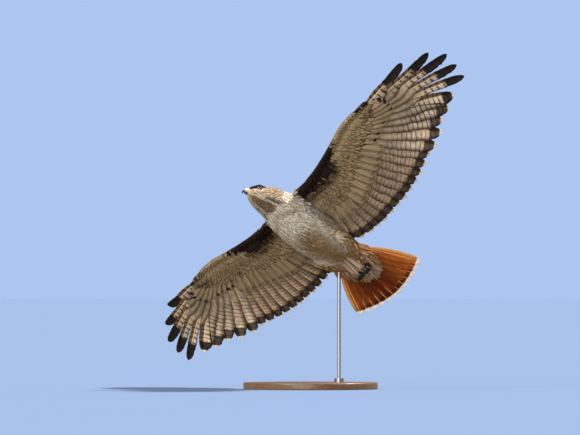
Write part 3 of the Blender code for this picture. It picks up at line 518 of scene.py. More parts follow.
def wing_marks(out, chord, upper):
    """The same five shares over the wing's small feathers, by distance out and share of the chord."""
    inner = smooth(out, 0.046, 0.060)
    reach = knots(out, BAR_REACH)
    bar = (1.0 - smooth(chord, reach - 0.05, reach)) * inner
    fringe = bump(chord, reach + 0.02, 0.06) * inner * (1.0 - smooth(out, 0.200, 0.215))
    hand = smooth(out, 0.265, 0.285)
    comma = bump(chord, 0.50, 0.28) * bump(out, 0.345, 0.022)
    comma += 0.62 * bump(chord, 0.74, 0.10) * bump(out, 0.262, 0.030)
    row = bump(chord, 0.86, 0.05) * smooth(out, 0.15, 0.18)
    streak = 0.10 + 0.90 * fringe + 0.85 * comma + 0.30 * row + 0.18 * bump(chord, 0.50, 0.10) * (1.0 - hand)
    zero = 0.0 * chord
    under = np.stack([0.05 + 0.14 * fringe, 0.06 + 0.20 * fringe, streak, 0.90 + zero, bar], -1)
    over = np.stack([0.16 + zero, 0.82 + zero, 0.25 + zero, zero, zero], -1)
    return np.clip(np.where(np.asarray(upper)[..., None], over, under), 0.0, 1.0)


def joined_marks(place, facing):
    """Shares on the skin: the body's marks, and past the shoulder the wing's."""
    out = np.abs(place[:, 1])
    chord = (knots(out, LEADING_EDGE) - place[:, 0]) / (knots(out, LEADING_EDGE) - knots(out, CORE_REAR))
    on_wing = smooth(out, 0.054, 0.066)[:, None]
    wing = wing_marks(out, np.clip(chord, 0.0, 1.0), facing[:, 2] > 0.0)
    return plumage_marks(place) * (1.0 - on_wing) + on_wing * wing


# Feathers

SMALL_ROWS = np.array([0.0, 0.30, 0.62, 0.86, 1.0])
SMALL_WIDTH = np.array([0.28, 0.88, 1.0, 0.74, 0.22])


def small_feathers(name, root, ahead, normal, length, width, lift, curl, marks, unwrap, shader, seed):
    """Many small closed feathers.

    Each is a strip of five rows by three columns: along it the point moves by its length and rises
    by lift times the way gone less curl times its square; across it by the width of a leaf shape,
    with the middle raised. A flat strip below closes it.
    """
    rng = np.random.default_rng(seed)
    count = len(root)
    ahead = unit(ahead - normal * np.sum(ahead * normal, 1, keepdims=True))
    side = np.cross(normal, ahead)
    turn = rng.normal(0.0, 0.08, count)[:, None]
    ahead, side = ahead * np.cos(turn) + side * np.sin(turn), side * np.cos(turn) - ahead * np.sin(turn)
    length = (length * rng.uniform(0.88, 1.12, count))[:, None, None, None]
    width = (width * rng.uniform(0.90, 1.10, count))[:, None, None, None]
    t = SMALL_ROWS[None, :, None, None]
    s = np.array([-1.0, 0.0, 1.0])[None, None, :, None]
    w = SMALL_WIDTH[None, :, None, None]
    roll = rng.normal(0.0, 0.035, count)[:, None, None, None]
    rise = (np.asarray(lift)[:, None, None, None] * t - curl * t**2) * length
    rise = rise + width * (0.07 * (1.0 - s**2) + roll * s)
    points = (root[:, None, None] + ahead[:, None, None] * (t - 0.06 * s**2 * t) * length
              + side[:, None, None] * s * w * width + normal[:, None, None] * rise)
    rows = len(SMALL_ROWS)
    r = np.arange(rows - 1)
    top = np.concatenate([3 * r[:, None] + (k, k + 1, k + 4, k + 3) for k in (0, 1)])
    under = 3 * r[:, None] + (0, 3, 5, 2)
    ends = np.array([[0, 2, 1], [3 * rows - 3, 3 * rows - 2, 3 * rows - 1]])
    shift = (np.arange(count) * 3 * rows)[:, None, None]
    quads = (np.concatenate([top, under])[None] + shift).reshape(-1, 4)
    tris = (ends[None] + shift).reshape(-1, 3)
    t3 = np.broadcast_to(t, (count, rows, 3, 1))
    s3 = np.broadcast_to(s, (count, rows, 3, 1))
    chance = np.broadcast_to(rng.uniform(0.0, 1.0, count)[:, None, None, None], (count, rows, 3, 1))
    vane = np.concatenate([t3, s3, chance], -1)
    marked = np.broadcast_to(marks[:, None, None, :3], (count, rows, 3, 3))
    ground = np.zeros((count, rows, 3, 3))
    ground[..., :2] = marks[:, None, None, 3:]
    patch = unwrap[:, None, None] + 0.0015 * np.concatenate([2.0 * t3 - 1.0, s3], -1)
    flat = points.reshape(-1, 3)
    a, b, c = flat[quads[0, 0]], flat[quads[0, 1]], flat[quads[0, 2]]
    if np.dot(np.cross(b - a, c - a), normal[0]) < 0.0:
        quads, tris = quads[:, ::-1], tris[:, ::-1]
    labels = {"vane": vane, "marks": marked, "ground": ground}
    return put_mesh(name, flat, [quads, tris], shader, labels, patch)


ROWS = np.concatenate([np.linspace(0.0, 0.82, 24)[:-1], np.linspace(0.82, 0.96, 8)[:-1],
                       np.linspace(0.96, 1.0, 5)])
COLUMNS = np.array([-1.0, -0.72, -0.40, -0.12, 0.0, 0.12, 0.40, 0.72, 1.0])
# Outlines of a web along the shaft
BROAD = ((0.0, 0.10), (0.20, 0.66), (0.45, 1.0), (0.75, 1.0), (0.88, 0.86), (0.955, 0.56), (1.0, 0.08))
FINGER_OUTER = ((0.0, 0.15), (0.18, 0.70), (0.40, 1.0), (0.56, 0.86), (0.86, 0.86), (0.95, 0.66),
                (0.985, 0.36), (1.0, 0.08))
FINGER_INNER = ((0.0, 0.10), (0.18, 0.70), (0.42, 1.0), (0.56, 0.57), (0.86, 0.53), (0.95, 0.40),
                (0.985, 0.22), (1.0, 0.05))


def shaft_sides(middle, outward, tilt):
    """Sideways and upward directions along each shaft, its outward side raised by tilt."""
    along = unit(np.gradient(middle, axis=1))
    flat = outward[:, None] + 0.0 * middle
    flat[..., 2] += tilt
    across = unit(flat - along * np.sum(flat * along, -1, keepdims=True))
    normal = np.cross(along, across)
    return across, normal * np.sign(normal[..., 2:3])


def vane_thickness(width, edge, rib):
    """Half the thickness of a vane: thin at its edges, raised on the shaft, less so toward the tip."""
    shaft = np.exp(-(width / SHAFT_WIDTH)**2)
    return edge + 0.00008 * (1.0 - np.abs(COLUMNS)) + rib * (1.0 - 0.85 * ROWS[:, None]) * shaft


def flat_vanes(name, root, tip, lift, outer, inner, tilt, side, fingers, marks, kind, shader, seed,
               power, bow=0.02, rise=0.0, rib=SHAFT_RIB):
    """Flight feathers laid out in the wing's plane.

    The shaft runs from root to tip with a bow, its height rises by lift times the way gone to a
    power, and each edge stands off by an outline of the way gone. The outer edge lies higher than the
    inner one by tilt, and the shaft swells both faces.
    """
    rng = np.random.default_rng(seed)
    count = len(root)
    t = ROWS[None, :]
    span = tip - root
    length = np.linalg.norm(span, axis=1, keepdims=True)
    ahead = span / length
    outward = np.stack([-ahead[:, 1], ahead[:, 0]], 1)
    plan = (root[:, None] + span[:, None] * t[..., None]
            + outward[:, None] * (bow * length * np.sin(math.pi * t))[..., None])
    height = wing_height(plan[..., 0]) + lift[:, None] * t**power[:, None] + rise
    middle = np.stack([plan[..., 1], plan[..., 0] * side, height], -1)
    flat = np.stack([outward[:, 1], outward[:, 0] * side, DIHEDRAL * outward[:, 0]], -1)
    across, normal = shaft_sides(middle, flat, tilt[:, None])
    s = COLUMNS[None, None, :]
    shape_out = np.where(fingers[:, None], knots(t, FINGER_OUTER), knots(t, BROAD))
    shape_in = np.where(fingers[:, None], knots(t, FINGER_INNER), knots(t, BROAD))
    ragged = 1.0 + 0.035 * rng.standard_normal((count, len(ROWS), 2)) * smooth(t, 0.2, 0.5)[..., None]
    reach_out = (outer[:, None] * shape_out * ragged[..., 0])[..., None]
    reach_in = (inner[:, None] * shape_in * ragged[..., 1])[..., None]
    width = np.where(s > 0.0, s * reach_out, s * reach_in)
    camber = -0.10 * np.abs(s)**1.5 * (reach_out + reach_in) * 0.5
    middle_grid = middle[:, :, None] + normal[:, :, None] * camber[..., None]
    return vane_solids(name, middle, across, normal, width, vane_thickness(width, 0.00010, rib),
                       middle_grid - middle[:, :, None], length * (1.0 - t), marks, kind, shader)


def vane_solids(name, middle, across, normal, width, thick, shift, distance, marks, kind, shader):
    """Large feathers as closed vanes with a raised shaft.

    middle, across and normal are the shaft's points and its sideways and upward directions for each
    feather and row, width the reach of each column from the shaft, thick half the vane's thickness,
    shift what each column is moved by, and distance how far each row lies from the tip. marks and kind
    are the feather's own numbers for its shading.
    """
    grid = middle[:, :, None] + across[:, :, None] * width[..., None] + shift
    count, rows, columns = width.shape
    points = np.stack([grid + normal[:, :, None] * thick[..., None],
                       grid - normal[:, :, None] * thick[..., None]], 1)
    one = rows * columns
    upper = grid_faces(rows, columns)
    lower = grid_faces(rows, columns, start=one, flip=True)
    r = np.arange(rows - 1)
    c = np.arange(columns - 1)
    last = one - columns
    rims = [np.stack([r * columns, (r + 1) * columns, one + (r + 1) * columns, one + r * columns], 1),
            np.stack([(r + 1) * columns + columns - 1, r * columns + columns - 1,
                      one + r * columns + columns - 1, one + (r + 1) * columns + columns - 1], 1),
            np.stack([c + 1, c, one + c, one + c + 1], 1),
            np.stack([last + c, last + c + 1, one + last + c + 1, one + last + c], 1)]
    faces = np.concatenate([upper, lower] + rims)
    a, b, d = (points[0].reshape(-1, 3)[faces[10 * columns, k]] for k in (0, 1, 2))
    if np.dot(np.cross(b - a, d - a), normal[0, 10]) < 0.0:
        faces = faces[:, ::-1]
    quads = (faces[None] + (np.arange(count) * 2 * one)[:, None, None]).reshape(-1, 4)
    u = np.linspace(0.0, 1.0, rows)[None, None, :, None]
    v = np.linspace(0.0, 1.0, columns)[None, None, None, :]
    half = np.array([0.5, 0.0])[None, :, None, None]
    cell = np.arange(count)[:, None, None, None]
    shape = (count, 2, rows, columns)
    places = np.stack([np.broadcast_to((cell + 0.06 + 0.88 * v) / count, shape),
                       np.broadcast_to(half + 0.01 + 0.48 * u, shape)], -1)
    vane = np.empty((*shape, 3))
    vane[..., 0] = distance[:, None, :, None]
    vane[..., 1] = COLUMNS
    vane[..., 2] = np.array([1.0, 0.0])[None, :, None, None]
    labels = {"vane": vane}
    for label, values in (("marks", marks), ("kind", kind[:, :3]), ("tone", kind[:, -1:])):
        labels[label] = np.broadcast_to(values[:, None, None, None], (*shape, 3))
    return put_mesh(name, points, [quads], shader, labels, places)


def between(ends, count):
    """Points spread evenly on a line of roots."""
    t = np.linspace(0.0, 1.0, count)[:, None]
    return np.array(ends[0]) + (np.array(ends[1]) - np.array(ends[0])) * t


def remiges():
    """Roots, tips, lifts, widths and kinds of one wing's flight feathers, outermost first."""
    roots = np.concatenate([between(PRIMARY_ROOTS[:2], LAST_INNER_PRIMARY + 1),
                            between(PRIMARY_ROOTS[1:], len(PRIMARY_LENGTH) - LAST_INNER_PRIMARY)[1:]])
    sweep = np.radians(PRIMARY_SWEEP)
    reach = np.array(PRIMARY_LENGTH)[:, None]
    tips = roots + reach * np.stack([np.cos(sweep), -np.sin(sweep)], 1)
    finger = np.arange(len(roots)) >= LAST_INNER_PRIMARY
    number = np.arange(SECONDARIES + INNER_FEATHERS)
    step = np.minimum(number, SECONDARIES + 3)
    out = TIP_OUT - TIP_STEP * step
    x = (TRAILING_EDGE + TRAILING_RISE_OUT * np.maximum(0.0, out - 0.21)**2
         + TRAILING_RISE_IN * np.maximum(0.0, 0.12 - out)**2)
    trailing = np.stack([out, x], 1)
    trailing[-1] += (-0.016, 0.030)

    def web(reach):
        return np.concatenate([np.where(finger, *reach[:2])[::-1], np.full(len(trailing), reach[2])])

    return {
        "root": np.concatenate([roots[::-1], between(SECONDARY_ROOTS, SECONDARIES),
                                between(INNER_ROOTS, INNER_FEATHERS)]),
        "tip": np.concatenate([tips[::-1], trailing]),
        "lift": np.concatenate([PRIMARY_LIFT[::-1], np.full(SECONDARIES, SECONDARY_LIFT),
                                np.full(INNER_FEATHERS, INNER_LIFT)]),
        "outer": web(OUTER_WEB),
        "inner": web(INNER_WEB),
        "finger": np.concatenate([finger[::-1], np.zeros(len(trailing), bool)]),
        "power": np.concatenate([np.full(len(roots), LIFT_POWER), np.full(len(trailing), 2.0)]),
    }


# Shading

class Value:
    """A number or colour that changes over the surface, and that formulas can add and multiply."""

    def __init__(self, build, socket):
        self.build = build
        self.socket = socket

    def __add__(self, other):
        return self.build.math('ADD', self, other)

    def __sub__(self, other):
        return self.build.math('SUBTRACT', self, other)

    def __rsub__(self, other):
        return self.build.math('SUBTRACT', other, self)

    def __mul__(self, other):
        return self.build.math('MULTIPLY', self, other)

    def __truediv__(self, other):
        return self.build.math('DIVIDE', self, other)

    def __abs__(self):
        return self.build.math('ABSOLUTE', self)

    __radd__ = __add__
    __rmul__ = __mul__


class Nodes:
    """Short hand for building a node tree."""

    def __init__(self, tree):
        self.tree = tree
        self.made = 0

    def add(self, kind, **settings):
        node = self.tree.nodes.new(kind)
        self.made += 1
        node.location = (180.0 * (self.made % 12) - 1600.0, 160.0 * (self.made // 12) - 300.0)
        for key, value in settings.items():
            setattr(node, key, value)
        return node

    def feed(self, socket, value):
        if isinstance(value, Value):
            self.tree.links.new(value.socket, socket)
        elif isinstance(value, tuple) and len(value) < len(socket.default_value):
            socket.default_value = (*value, 1.0)
        else:
            socket.default_value = value

    def made_by(self, node, output, **given):
        """Feed a node's named inputs and take one of its outputs."""
        for key, value in given.items():
            self.feed(node.inputs[key.replace("_", " ")], value)
        return Value(self, node.outputs[output])

    def math(self, operation, a, b=0.0):
        node = self.add('ShaderNodeMath', operation=operation)
        self.feed(node.inputs[0], a)
        self.feed(node.inputs[1], b)
        return Value(self, node.outputs[0])

    def step(self, value, low, high, start=0.0, end=1.0):
        """A soft S from start at low to end at high."""
        node = self.add('ShaderNodeMapRange', interpolation_type='SMOOTHSTEP')
        for k, given in enumerate((value, low, high, start, end)):
            self.feed(node.inputs[k], given)
        return Value(self, node.outputs[0])

    def mix(self, share, a, b, blend='MIX'):
        node = self.add('ShaderNodeMix', data_type='RGBA', blend_type=blend)
        for k, given in ((0, share), (6, a), (7, b)):
            self.feed(node.inputs[k], given)
        return Value(self, node.outputs[2])

    def shaded(self, colour, shade):
        """A colour darkened or lightened by a number."""
        return self.mix(1.0, colour, self.vector(shade, shade, shade), 'MULTIPLY')

    def noise(self, vector, scale, detail=3.0, roughness=0.55):
        return self.made_by(self.add('ShaderNodeTexNoise'), 0, Vector=vector, Scale=scale, Detail=detail,
                            Roughness=roughness)

    def split(self, name):
        """The three numbers of one of the piece's attributes."""
        attribute = self.add('ShaderNodeAttribute', attribute_name=name)
        parts = self.add('ShaderNodeSeparateXYZ')
        self.tree.links.new(attribute.outputs["Vector"], parts.inputs[0])
        return [Value(self, output) for output in parts.outputs]

    def vector(self, x, y, z):
        return self.made_by(self.add('ShaderNodeCombineXYZ'), 0, X=x, Y=y, Z=z)

    def place(self, scale=None):
        """The piece's own coordinates, stretched by a scale."""
        coordinates = Value(self, self.add('ShaderNodeTexCoord').outputs["Object"])
        if scale is None:
            return coordinates
        mapping = self.add('ShaderNodeMapping')
        mapping.inputs["Scale"].default_value = scale
        return self.made_by(mapping, 0, Vector=coordinates)

    def group(self, tree, **given):
        node = self.add('ShaderNodeGroup', node_tree=tree)
        for key, value in given.items():
            self.feed(node.inputs[key], value)
        return [Value(self, output) for output in node.outputs]

    def bump(self, height, strength, distance):
        return self.made_by(self.add('ShaderNodeBump'), 0, Strength=strength, Distance=distance,
                            Height=height)


def new_group(name, inputs, outputs):
    """An empty group with named number sockets: the tree, its builder, what goes in and out."""
    tree = bpy.data.node_groups.new(name, 'ShaderNodeTree')
    for label in inputs:
        tree.interface.new_socket(label, in_out='INPUT', socket_type='NodeSocketFloat')
    for label in outputs:
        tree.interface.new_socket(label, in_out='OUTPUT', socket_type='NodeSocketFloat')
    build = Nodes(tree)
    entry = build.add('NodeGroupInput')
    leave = build.add('NodeGroupOutput')
    return tree, build, [Value(build, entry.outputs[label]) for label in inputs], leave.inputs


def barb_group():
    """Fine barbs that leave the shaft at a slant, as a height and a slight shade."""
    tree, build, (along, across, chance, fineness), leave = new_group(
        "feather_barbs", ("Along", "Across", "Chance", "Fineness"), ("Height", "Shade"))
    phase = (along + abs(across) * 0.55) * fineness
    clumps = build.noise(build.vector(phase * 0.12, across * 0.6, chance * 40.0), 1.0, 4.0, 0.7)
    mixed = build.math('SINE', phase) * 0.25 + clumps
    build.feed(leave["Height"], mixed)
    build.feed(leave["Shade"], build.step(mixed, 0.20, 0.85, 0.86, 1.10))
    return tree


def bar_group():
    """Dark bars across a vane at even distances from its tip, wavy and broken."""
    tree, build, (distance, across, chance, spacing, share), leave = new_group(
        "vane_bars", ("Distance", "Across", "Chance", "Spacing", "Share"), ("Mask",))
    wander = build.noise(build.vector(distance * 60.0, across * 1.6, chance * 90.0), 1.0, 2.0, 0.5)
    bent = distance + abs(across) * 0.0035 + (wander - 0.5) * 0.009
    saw = abs(build.math('FRACT', bent / spacing) - 0.5)
    build.feed(leave["Mask"], 1.0 - build.step(saw, share * 0.5 - 0.05, share * 0.5 + 0.05))
    return tree


def new_material(name):
    """A material with a bare Principled shader: the material, its builder and the shader."""
    made = bpy.data.materials.new(name)
    made.use_nodes = True
    return made, Nodes(made.node_tree), made.node_tree.nodes["Principled BSDF"]


def coated(build, shader, colour, height, strength, distance, **given):
    """Feed the shader its colour, its bumps and any other inputs, constants straight on their sockets."""
    build.feed(shader.inputs["Base Color"], colour)
    build.feed(shader.inputs["Normal"], build.bump(height, strength, distance))
    for key, value in given.items():
        build.feed(shader.inputs[key.replace("_", " ")], value)


def glow(build, shader, colour, share):
    """Mix light that passes through the vane into a feather's shader."""
    through = build.add('ShaderNodeBsdfTranslucent')
    build.feed(through.inputs["Color"], colour)
    mixed = build.add('ShaderNodeMixShader')
    mixed.inputs[0].default_value = share
    build.tree.links.new(shader.outputs[0], mixed.inputs[1])
    build.tree.links.new(through.outputs[0], mixed.inputs[2])
    build.tree.links.new(mixed.outputs[0], build.tree.nodes["Material Output"].inputs["Surface"])


def rachis_mask(build, across, low, high):
    """1 on the shaft of a vane, 0 on its webs."""
    return 1.0 - build.step(abs(across), low, high)


BARB_FINENESS = 3600.0
BARB_BUMP = (0.30, 0.0004)


def flight_material(groups, colours):
    """Barred wing feathers: pale below with dark bars and a dark hind border, brown above."""
    made, build, shader = new_material("flight_feathers")
    distance, across, dorsal = build.split("vane")
    chance, band_length, barring = build.split("marks")
    spacing, white, black = build.split("kind")
    deep = build.split("tone")[0]
    height, shade = build.group(groups["barbs"], Along=distance, Across=across, Chance=chance,
                                Fineness=BARB_FINENESS)
    bars = build.group(groups["bars"], Distance=distance, Across=across, Chance=chance, Spacing=spacing,
                       Share=build.step(black, 0.3, 1.0, 0.24, 0.32))[0]
    # Webs below
    below = build.mix(build.step(across, -0.02, 0.22), build.mix(deep, colours.web, colours.web_deep),
                      colours.web_outer_and_overlap_shade)
    # Painted shade where each web's inner edge lies under its neighbour: darker toward the inner edge, in
    # the outer web's colour
    below = build.mix(build.step(across, -0.50, -0.95, 0.0, 0.75), below, colours.web_outer_and_overlap_shade)
    below = build.mix(build.step(distance, 0.06, 0.15, 0.0, 0.35), below, colours.tan)
    cloud = build.noise(build.vector(distance * 55.0, across * 1.5, chance * 70.0), 1.0, 3.0)
    below = build.shaded(below, build.step(cloud, 0.30, 0.70, 0.70, 1.16))
    below = build.mix(bars * barring * build.step(distance, 0.150, 0.110), below, colours.bar)
    # Dark tip or hind border, and the pale fringe: a real white edge, widened and brightened as painted glow
    # of the light behind the wing
    wave = build.noise(build.vector(across * 2.0, chance * 30.0, 0.0), 1.6) * 0.014
    band = 1.0 - build.step((distance + wave) - (band_length + 0.007), -0.0035, 0.0035)
    dark = build.mix(black, colours.band_brown, colours.band)
    below = build.mix(band * build.step(black, 0.2, 1.0, 0.86, 0.98), below, dark)
    # Pale fringe, partly painted rim light from the sun behind the wing
    edge = (1.0 - build.step(distance, 0.0060, 0.0090)) * white
    below = build.mix(edge, below, (0.97, 0.95, 0.93))
    above = build.mix(build.math('MAXIMUM', bars, band) * 0.70, colours.brown, colours.band)
    above = build.mix(build.step(distance, 0.004, 0.002) * (white * 0.6), above, (0.42, 0.33, 0.24))
    colour = build.mix(dorsal, below, above)
    shaft = build.mix(dorsal, build.mix(band, (0.80, 0.68, 0.50), dark), (0.16, 0.10, 0.06))
    colour = build.mix(rachis_mask(build, across, 0.05, 0.12) * 0.85, colour, shaft)
    colour = build.shaded(colour, shade * build.step(chance, 0.0, 1.0, 0.88, 1.06))
    coated(build, shader, colour, height, *BARB_BUMP, Roughness=0.68, Specular_IOR_Level=0.25)
    lit = build.mix(dorsal, build.mix(1.0, colour, (1.0, 0.88, 0.72), 'MULTIPLY'), (0.86, 0.80, 0.70))
    glow(build, shader, lit, 0.42)
    return made


def covert_material(groups, colours):
    """Greater coverts: tan below with a dark comma before the tip, brown with a pale fringe above."""
    made, build, shader = new_material("covert_feathers")
    distance, across, dorsal = build.split("vane")
    chance, comma, brown = build.split("marks")
    height, shade = build.group(groups["barbs"], Along=distance, Across=across, Chance=chance,
                                Fineness=BARB_FINENESS)
    hair_streaks_and_shade = build.noise(build.vector(distance * 25.0, across * 7.0, chance * 80.0), 1.0, 3.0, 0.7)
    below = build.mix(0.12, build.mix(0.10, colours.tan, colours.rufous), colours.cream)
    # The hair streaks also darken the under side to 0.40 to 0.86 of its colour: painted shade matching the
    # self-shadow of the small coverts
    below = build.shaded(below, build.step(hair_streaks_and_shade, 0.30, 0.66, 0.40, 0.86))
    spot = build.step(distance, 0.0030, 0.0045) * (1.0 - build.step(distance, 0.0110, 0.0170))
    spot = spot * build.step(across + chance * 0.7, -0.20, 0.20)
    below = build.mix(spot * comma, below, colours.band)
    below = build.mix(brown, below, colours.band_brown)
    above = build.mix(build.step(distance, 0.0045, 0.0020), colours.brown, (0.40, 0.29, 0.19))
    colour = build.mix(dorsal, below, above)
    colour = build.mix(rachis_mask(build, across, 0.04, 0.12) * 0.22, colour, (0.10, 0.07, 0.05))
    colour = build.shaded(colour, shade * build.step(chance, 0.0, 1.0, 0.90, 1.06))
    coated(build, shader, colour, height, *BARB_BUMP, Roughness=0.74, Specular_IOR_Level=0.2)
    glow(build, shader, colour, 0.10)
    return made


def tail_material(groups, colours):
    """Rufous tail: brick red with dark blotches before the pale tip, lit through from behind."""
    made, build, shader = new_material("tail_feathers")
    distance, across, dorsal = build.split("vane")
    chance, tone, barring = build.split("marks")
    outermost = build.split("tone")[0]
    height, shade = build.group(groups["barbs"], Along=distance, Across=across, Chance=chance,
                                Fineness=BARB_FINENESS)
    mottle = build.noise(build.vector(distance * 90.0, across * 2.0, chance * 60.0), 1.0, 3.0)
    # Per-feather tone: painted light through the fan, bright on the outer feathers and toward one side, deep
    # rufous in the middle where feathers stack
    base = build.mix(tone, colours.tail_deep, colours.tail_under)
    base = build.mix(build.step(across, 0.0, 0.4, 0.0, 0.4), base, colours.tail_deep)
    # Painted glow along the outer web of the outermost feathers, where light shines through the edge of the
    # fan
    rim = build.step(across, 0.25, 0.60) * build.step(outermost, 0.5, 0.6)
    base = build.mix(rim * 0.8, base, (0.78, 0.50, 0.18))
    base = build.mix(dorsal, base, colours.tail_over)
    base = build.mix(build.step(distance, 0.11, 0.17), base, colours.tail_base)
    near = distance + mottle * 0.008
    band = build.step(near, 0.0145, 0.0170) * (1.0 - build.step(near, 0.0210, 0.0330))
    base = build.mix(band * barring, base, (0.030, 0.010, 0.008))
    base = build.mix(1.0 - build.step(near, 0.0130, 0.0155), base, (0.97, 0.92, 0.86))
    base = build.mix(rachis_mask(build, across, 0.04, 0.10) * 0.8, base, (0.80, 0.50, 0.22))
    base = build.shaded(base, shade * build.step(mottle, 0.2, 0.8, 0.82, 1.12))
    coated(build, shader, base, height, *BARB_BUMP, Roughness=0.62, Specular_IOR_Level=0.25)
    glow(build, shader, build.mix(dorsal, base, (0.95, 0.80, 0.58)), 0.5)
    return made


def plumage_material(colours):
    """Small feathers and the skin under them: cream, rufous and brown by place, dark shaft streaks."""
    made, build, shader = new_material("body_plumage")
    along, across, chance = build.split("vane")
    rufous, brown, streak = build.split("marks")
    tan, dark = build.split("ground")[:2]
    strands = build.noise(build.vector(along * 1.1, across * 6.0, chance * 60.0), 1.0, 3.0, 0.65)
    colour = build.mix(tan, colours.cream, colours.tan)
    colour = build.mix(rufous, colour, colours.rufous)
    colour = build.mix(brown, colour, colours.brown)
    colour = build.mix(build.step(along, 0.66, 0.95) * (brown * 0.55), colour, colours.rufous)
    # A dark drop on the shaft of the feathers that chance picks, more of them where streaks are many
    line = 1.0 - build.step(abs(across) / (streak * 0.50 + 0.20), 0.45, 1.0)
    present = build.step(streak + (chance - 0.5) * 0.9, 0.46, 0.58)
    drop = line * build.step(along, 0.22, 0.50) * present * 0.95
    colour = build.mix(drop, colour, colours.streak)
    colour = build.mix(dark, colour, colours.streak)
    shade = build.step(chance, 0.0, 1.0, 0.86, 1.10) * build.step(strands, 0.25, 0.75, 0.66, 1.18)
    colour = build.shaded(colour, shade * build.step(along, 0.0, 0.55, 0.80, 1.0))
    coated(build, shader, colour, strands, 0.40, 0.0005, Roughness=0.84, Specular_IOR_Level=0.08,
           Sheen_Weight=0.05)
    glow(build, shader, colour, 0.2)
    return made


def bill_material():
    """Blue-grey horn that darkens to a black tip, with a pale yellowish cere at the base."""
    made, build, shader = new_material("bill_horn_cere")
    along, pit = build.split("vane")[::2]
    cloud = build.noise(build.place(), 420.0, 4.0)
    cere = 1.0 - build.step(along + cloud * 0.04, 0.36, 0.44)
    horn = build.mix(build.step(along, 0.44, 0.66), (0.46, 0.47, 0.49), (0.016, 0.015, 0.016))
    colour = build.mix(cere, horn, (0.80, 0.72, 0.50))
    colour = build.mix(build.step(cloud, 0.35, 0.75, 0.0, 0.35), colour, (0.20, 0.18, 0.15))
    # Painted shade inside the nostril opening
    colour = build.mix(pit, colour, (0.010, 0.008, 0.006))
    coated(build, shader, colour, cloud, 0.25, 0.0003, Roughness=build.step(cere, 0.0, 1.0, 0.24, 0.48),
           Coat_Weight=0.3, Coat_Roughness=0.25)
    return made


def eye_material():
    """Brown iris round a black pupil under a clear wet coat."""
    made, build, shader = new_material("eye_wet_brown")
    out, turn, third = build.split("vane")
    rays = build.noise(build.vector(turn * 9.0, out * 3.0, third), 3.0, 4.0)
    iris = build.mix(rays, (0.030, 0.012, 0.005), (0.085, 0.034, 0.012))
    iris = build.mix(build.step(out, 0.60, 0.74), iris, (0.008, 0.006, 0.005))
    colour = build.mix(build.step(out, 0.34, 0.38), (0.001, 0.001, 0.001), iris)
    build.feed(shader.inputs["Base Color"], colour)
    shader.inputs["Roughness"].default_value = 0.12
    shader.inputs["Coat Weight"].default_value = 1.0
    shader.inputs["Coat Roughness"].default_value = 0.03
    return made


def skin_material(name, dry, deep, roughness, scale, strength):
    """Bare scaly skin: plates with darker furrows, from a cell pattern on the piece."""
    made, build, shader = new_material(name)
    coordinates = build.place()
    cells = build.made_by(build.add('ShaderNodeTexVoronoi', feature='DISTANCE_TO_EDGE'), "Distance",
                          Vector=coordinates, Scale=scale)
    furrow = build.step(cells, 0.02, 0.16)
    patch = build.noise(coordinates, scale * 0.4, 3.0)
    colour = build.mix(build.step(patch, 0.35, 0.7, 0.0, 0.5), build.mix(furrow, deep, dry), deep)
    coated(build, shader, colour, furrow, strength, 0.0004, Roughness=roughness, Specular_IOR_Level=0.3)
    return made


def claw_material():
    """Black horn with a faint grain along it."""
    made, build, shader = new_material("claw_horn")
    grain = build.noise(build.place(), 900.0, 3.0)
    colour = build.mix(grain, (0.006, 0.006, 0.006), (0.035, 0.030, 0.026))
    coated(build, shader, colour, grain, 0.15, 0.0002, Roughness=build.step(grain, 0.3, 0.8, 0.22, 0.42))
    return made


def wood_material():
    """Dark oiled wood with long grain, pores and a few rings."""
    made, build, shader = new_material("stand_wood_oiled")
    place = build.place((1.0, 9.0, 9.0))
    wide = build.noise(place, 9.0, 5.0, 0.6)
    fine = build.noise(place, 90.0, 4.0, 0.7)
    rings = build.step(build.math('FRACT', wide * 7.0), 0.0, 1.0)
    colour = build.mix(rings, (0.105, 0.052, 0.026), (0.185, 0.098, 0.050))
    colour = build.mix(build.step(fine, 0.55, 0.75, 0.0, 0.6), colour, (0.045, 0.022, 0.012))
    coated(build, shader, colour, fine, 0.12, 0.0003, Roughness=build.step(fine, 0.3, 0.8, 0.34, 0.52),
           Coat_Weight=0.25, Coat_Roughness=0.2)
    return made


def steel_material():
    """Brushed steel with fine rings round the rod."""
    made, build, shader = new_material("stand_steel_brushed")
    brush = build.noise(build.place((30.0, 30.0, 2200.0)), 1.0, 3.0, 0.7)
    colour = build.mix(brush, (0.30, 0.30, 0.31), (0.48, 0.48, 0.49))
    coated(build, shader, colour, brush, 0.08, 0.0001, Roughness=build.step(brush, 0.2, 0.8, 0.26, 0.42),
           Metallic=1.0)
    return made


SHADERS = {}


